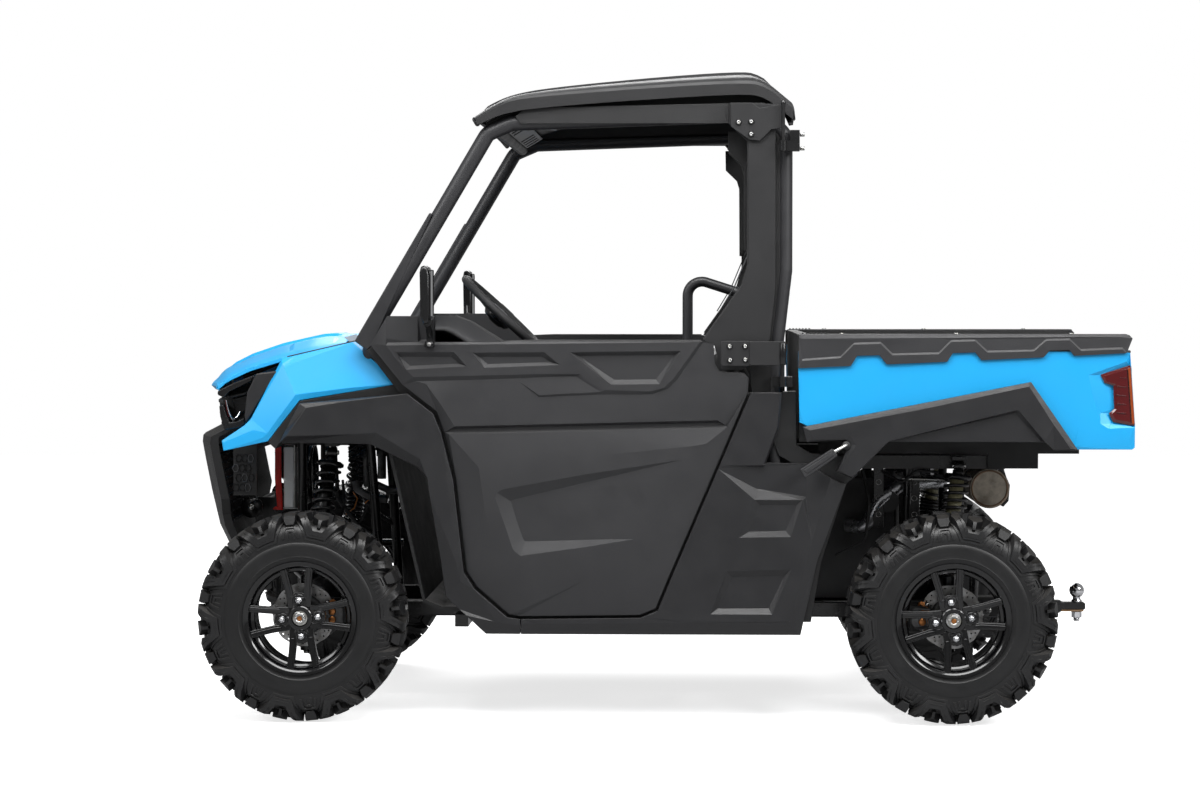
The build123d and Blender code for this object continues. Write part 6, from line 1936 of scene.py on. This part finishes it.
M["foil"] = surface("foil_wrap", hexc("B9BABD"), 0.28, metal=0.9, vary=0.12, grain=1.0, grain_scale=120, waves=0.3, wave_scale=60)
both_sides(join("underside_visual", make_underside()), "underside_visual", "chassis")


def make_caliper(hub_x, back, y_k):
    """Left caliper over the disc: back is -1 when it sits behind the axle (towards the tail)."""
    bits = []

    def X(d):
        return hub_x + back * d
    body = [(X(62), 292), (X(112), 284), (X(122), 296), (X(122), 336), (X(112), 348), (X(62), 342)]
    bits.append(prism_y("cal_outer", body, 654, 674, M["cast"], 4, 3))
    bits.append(prism_y("cal_inner", body, 614, 634, M["cast"], 4, 3))
    bits.append(prism_y("cal_bridge", [(X(106), 292), (X(121), 298), (X(121), 336), (X(106), 342)], 630, 658, M["cast"], 3, 2))
    for z in (303, 328):
        bits.append(revolved("cal_piston", [(0, 0), (10, 0), (11, 2), (11, 3.5), (8, 4.4), (0, 4.4)], (X(88), 674, z), (0, 1, 0), M["copper"], seg=24))
    bits.append(revolved("cal_bleed", [(0, 0), (4, 0), (4, 8), (2.6, 10), (2.6, 15), (0, 16)], (X(96), 655, 346), (0, 0, 1), M["copper"], seg=14))
    bits.append(prism_y("cal_clip", [(X(68), 342), (X(84), 348), (X(98), 360), (X(90), 366), (X(74), 356), (X(66), 350)], 660, 672, M["copper"], 1.5, 2))
    bits.append(revolved("cal_bolt", [(0, -2), (6.4, -2), (7, 4), (5, 8), (0, 8)], (X(74), 672, 356), (0, 1, 0), M["zinc"], seg=18))
    return bits


cf = join("front_caliper_visual", make_caliper(1055, -1, 620))
both_sides(cf, "front_caliper_visual", "knuckle_left", "knuckle_right")
cr = join("rear_caliper_visual", make_caliper(-889, 1, 620))
both_sides(cr, "rear_caliper_visual", "chassis")


def make_hitch():
    bits = []
    bits.append(revolved("hitch_ball", [(0, 24), (9, 22.3), (17, 17), (22.3, 9), (24, 0), (22.3, -9), (17, -17), (12.5, -20.5), (12.5, -28), (17, -32), (17, -37), (0, -37)],
                         (-1344, 0, 333), (0, 0, 1), M["chrome"], seg=44))
    bits.append(prism_y("hitch_tongue", [(-1120, 262), (-1120, 302), (-1290, 302), (-1300, 296), (-1366, 296), (-1370, 292), (-1370, 276), (-1366, 272), (-1298, 272), (-1288, 262)],
                        -19, 19, M["frame"], 3, 2))
    bits.append(prism_y("hitch_sole", [(-1292, 267), (-1292, 272.5), (-1364, 272.5), (-1364, 267)], -22, 22, M["copper_dull"], 1.5, 2))
    bits.append(box_mesh("hitch_receiver", -1185, -1010, -32, 32, 250, 314, M["frame"], 4, 2))
    hexa = [(-1344 + 17 * math.cos(math.radians(60 * i)), 0 + 17 * math.sin(math.radians(60 * i))) for i in range(6)]
    bm = bmesh.new()
    lo = [bm.verts.new(Vector((x, y, 246)) * MM) for x, y in hexa]
    hi = [bm.verts.new(Vector((x, y, 266)) * MM) for x, y in hexa]
    bm.faces.new(lo[::-1]); bm.faces.new(hi)
    for i in range(6):
        bm.faces.new([lo[i], lo[(i + 1) % 6], hi[(i + 1) % 6], hi[i]])
    n = from_bm("hitch_nut", bm, M["chrome"])
    bevel(n, 1.5, 2)
    bits.append(n)
    bits.append(revolved("hitch_shank", [(0, 235), (9, 235), (10, 237), (10, 247), (0, 247)], (-1344, 0, 0), (0, 0, 1), M["chrome"], seg=24))
    bits.append(tube_mesh("hitch_pin", [Vector((-1150, -48, 282)), Vector((-1150, 48, 282))], 7, M["zinc"], 16))
    for s in (-1, 1):
        bits.append(tube_mesh("chain_loop", [Vector(p) for p in rounded_path([(-1176, s * 34, 300), (-1212, s * 50, 300), (-1212, s * 66, 270), (-1176, s * 34, 264)], 10)], 5, M["frame"], 10))
    return bits


M["copper_dull"] = surface("tongue_sole", hexc("9A7B5A"), 0.6, vary=0.1, grain=0.2)
put(join("tow_hitch_visual", make_hitch()), "chassis", None, "tow_hitch")


def make_muffler_detail():
    bits = []
    for y in (-86, 60, 312):
        bits.append(revolved("muffler_band", [(59, -5), (61.5, -5), (62, -3), (62, 3), (61.5, 5), (59, 5)], (-1034, y, 680), (0, 1, 0), M["steel"] if y != 312 else M["burnt"], seg=56))
    bits.append(revolved("muffler_seam", [(52, 0), (56, 0), (57.5, -1), (57.5, 2.2), (52, 2.2)], (-1034, 317, 680), (0, 1, 0), M["burnt"], seg=56))
    bits.append(tube_mesh("tail_pipe", [Vector(p) for p in rounded_path([(-1050, -90, 690), (-1050, -130, 690), (-1110, -150, 690)], 20)], 20, M["burnt"], 24))
    bits.append(prism_y("muffler_hanger", [(-1090, 706), (-1098, 690), (-1094, 640), (-1078, 622), (-1066, 628), (-1080, 650), (-1082, 700), (-1064, 738), (-1078, 742)], 300, 306, M["frame"], 1.5))
    # slotted bracket under the bed's rear end
    out = [(-1018, 742, 0), (-1018, 782, 0), (-1160, 782, 0), (-1166, 770, 0), (-1150, 760, 0), (-1128, 762, 0), (-1112, 748, 0), (-1088, 748, 0), (-1070, 738, 0)]
    holes = [[(-1042, 758, 0), (-1056, 758, 0), (-1056, 772, 0), (-1042, 772, 0)], [(-1084, 760, 0), (-1104, 760, 0), (-1104, 772, 0), (-1084, 772, 0)],
             [(-1132, 768, 0), (-1142, 768, 0), (-1142, 776, 0), (-1132, 776, 0)]]
    bits.append(crease_panel("muffler_plate", out, [], 345, 5, M["frame"], holes=holes, bev=0.8, back=340))
    bits.append(crease_panel("muffler_plate2", out, [], -340, 5, M["frame"], holes=holes, bev=0.8, back=-345))
    return bits


M["burnt"] = surface("burnt_steel", hexc("6B4F3C"), 0.42, metal=0.7, vary=0.15, grain=0.3, second=hexc("8D7A66"), second_mix=0.5, second_scale=20)
put(join("muffler_detail_visual", make_muffler_detail()), "chassis")


def make_bumper_detail():
    bits = []
    for s in (-1, 1):
        for z in (618, 520):
            bits.append(revolved("bumper_flange", [(0, -4), (32, -4), (34, -2), (34, 3), (0, 3)], (1262, s * 330, z), (0, 1, 0), M["frame"], seg=32))
            bits.append(revolved("bumper_bolt", [(0, 3), (10, 3), (10, 9), (8, 12), (0, 12)], (1262, s * 330, z), (0, s, 0), M["zinc"], seg=18))
    for y, z in ((-84, 600), (84, 600), (-84, 640), (84, 640)):
        bits.append(revolved("plate_ring", [(5.3, 0), (10, 0), (10, 1.4), (5.3, 1.4)], (1207, y, z), (1, 0, 0), M["zinc"], seg=22))
    return bits


put(join("bumper_detail_visual", make_bumper_detail()), "chassis")

paint("cage", "roll_cage_sides", "roll_cage_crossbars")
paint("frame", "frame", "front_bumper", "front_suspension_arms", "rear_suspension_arms", "steering_rack", "steering_column",
      "door_hinges", bev=1.2)
paint("dark", "skid_plate", "cab_tub", "seat_base", "bed_tub", bev=2.0)
paint("fender", "dash", bev=3.0)
paint("dark", "front_fascia", bev=3.0, angle=20)
paint("engine", "engine_and_gearcases", "front_knuckle_left", "front_knuckle_right", "rear_knuckles", bev=2.0)
paint("steel", "half_shafts", bev=1.0)
paint("muffler", "muffler", bev=3.0)

# cowl strip that closes the slot between the dash and the hood, under the sweep of the hood's rear edge
cowl = [prism_y("cowl_top", [(903, 1119), (936, 1109), (936, 1104), (903, 1108)], -488, 488, M["header_grey"], 1.5),
        prism_y("cowl_lip", [(931, 1107), (936, 1107), (936, 1084), (931, 1084)], -488, 488, M["dark"], 1)]
for s in (-1, 1):
    cowl.append(prism_y("cowl_end", [(903, 1118), (940, 1108), (938, 1060), (903, 1060)], *sorted((s * 488, s * 498)), M["dark"], 1))
put(join("cowl_visual", cowl), "chassis", "fender_plastic")

# lower A-post shoes that carry the post's straight front line down to the fender corner, and the grey cowl corners
shoes = []
for s in (-1, 1):
    shoes.append(prism_y("a_post_shoe", [(673, 1526), (900, 1141), (863, 1113), (845, 1129), (809, 1210), (664, 1522)],
                         *sorted((s * 638, s * 657)), M["cage"], 4, 3))
    shoes.append(prism_y("cowl_corner", [(950, 1150), (912, 1160), (900, 1139), (930, 1134)], *sorted((s * 498, s * 502)), M["header_grey"], 0.8))
for s in (-1, 1):
    shoes.append(tube_mesh("hood_seam", [Vector((914, s * 504, 1139)), Vector((1000, s * 504, 1119)), Vector((1124, s * 504, 1090.5))], 2.2, M["dark"], 8))
put(join("a_post_shoe_visual", shoes), "chassis", "frame_paint")
# ---------------------------------------------------------------- camera, floor and light
def stage_scene():
    s = 14.0
    floor = new_mesh("floor", [(-s, -s, 0), (s, -s, 0), (s, s, 0), (-s, s, 0)], [(0, 1, 2, 3)], None, False, 1.0)
    fm = bpy.data.materials.new("floor_white")
    fm.use_nodes = True
    b = fm.node_tree.nodes["Principled BSDF"]
    b.inputs["Roughness"].default_value = 0.9
    b.inputs["Specular IOR Level"].default_value = 0.0
    b.inputs["Emission Color"].default_value = (1, 1, 1, 1)
    fn, fl = fm.node_tree.nodes, fm.node_tree.links
    seen = fn.new("ShaderNodeLightPath")
    glow = fn.new("ShaderNodeMapRange")                     # less light thrown back up at the underside
    glow.inputs["To Min"].default_value = 0.06
    glow.inputs["To Max"].default_value = 0.74
    fl.new(seen.outputs["Is Camera Ray"], glow.inputs["Value"])
    fl.new(glow.outputs["Result"], b.inputs["Emission Strength"])
    tone = fn.new("ShaderNodeMix")
    tone.data_type = "RGBA"
    tone.inputs["A"].default_value = (0.34, 0.34, 0.345, 1)
    tone.inputs["B"].default_value = (0.93, 0.93, 0.935, 1)
    fl.new(seen.outputs["Is Camera Ray"], tone.inputs["Factor"])
    fl.new(tone.outputs["Result"], b.inputs["Base Color"])
    floor.data.materials.append(fm)
    w = bpy.data.worlds.new("studio")
    SCN.world = w
    w.use_nodes = True
    nt = w.node_tree
    bg = nt.nodes["Background"]
    bg.inputs["Color"].default_value = (1, 1, 1, 1)
    lp = nt.nodes.new("ShaderNodeLightPath")
    mr = nt.nodes.new("ShaderNodeMapRange")
    mr.inputs["To Min"].default_value = 0.28
    mr.inputs["To Max"].default_value = 1.0
    nt.links.new(lp.outputs["Is Camera Ray"], mr.inputs["Value"])
    nt.links.new(mr.outputs["Result"], bg.inputs["Strength"])

    def area(name, loc, target, size, power, size_y=None):
        l = bpy.data.lights.new(name, "AREA")
        l.energy = power
        l.shape = "RECTANGLE"
        l.size = size
        l.size_y = size_y or size
        ob = bpy.data.objects.new(name, l)
        SCN.collection.objects.link(ob)
        ob.location = loc
        ob.rotation_euler = (Vector(target) - Vector(loc)).to_track_quat("-Z", "Y").to_euler()
        return ob
    area("top", (0.1, 2.6, 4.7), (0, 0.5, 1.0), 4.6, 345, 2.4)
    area("front_left", (4.6, 3.8, 3.7), (0.6, 0.3, 1.0), 2.2, 82, 1.6)
    area("rear_left", (-4.6, 3.8, 3.7), (-0.7, 0.3, 1.0), 2.6, 205, 1.6)
    area("far", (0.5, -4.5, 3.6), (0, 0, 0.8), 3.0, 110, 2.0)
    cam = bpy.data.cameras.new("camera")
    cam.sensor_width = 36.0
    cam.sensor_fit = "HORIZONTAL"
    cam.lens = 36.0 * FOCAL / 1200.0
    cam.clip_start, cam.clip_end = 0.1, 100.0
    ob = bpy.data.objects.new("camera", cam)
    SCN.collection.objects.link(ob)
    ob.location = (CAM_X * MM, CAM_Y * MM, CAM_Z * MM)
    ax, az = math.radians(2.034), math.radians(1.996)
    fwd = Vector((math.sin(ax) * math.cos(az), -math.cos(ax) * math.cos(az), -math.sin(az)))
    ob.rotation_euler = fwd.to_track_quat("-Z", "Y").to_euler()
    SCN.camera = ob
    SCN.view_settings.view_transform = "Standard"


stage_scene()
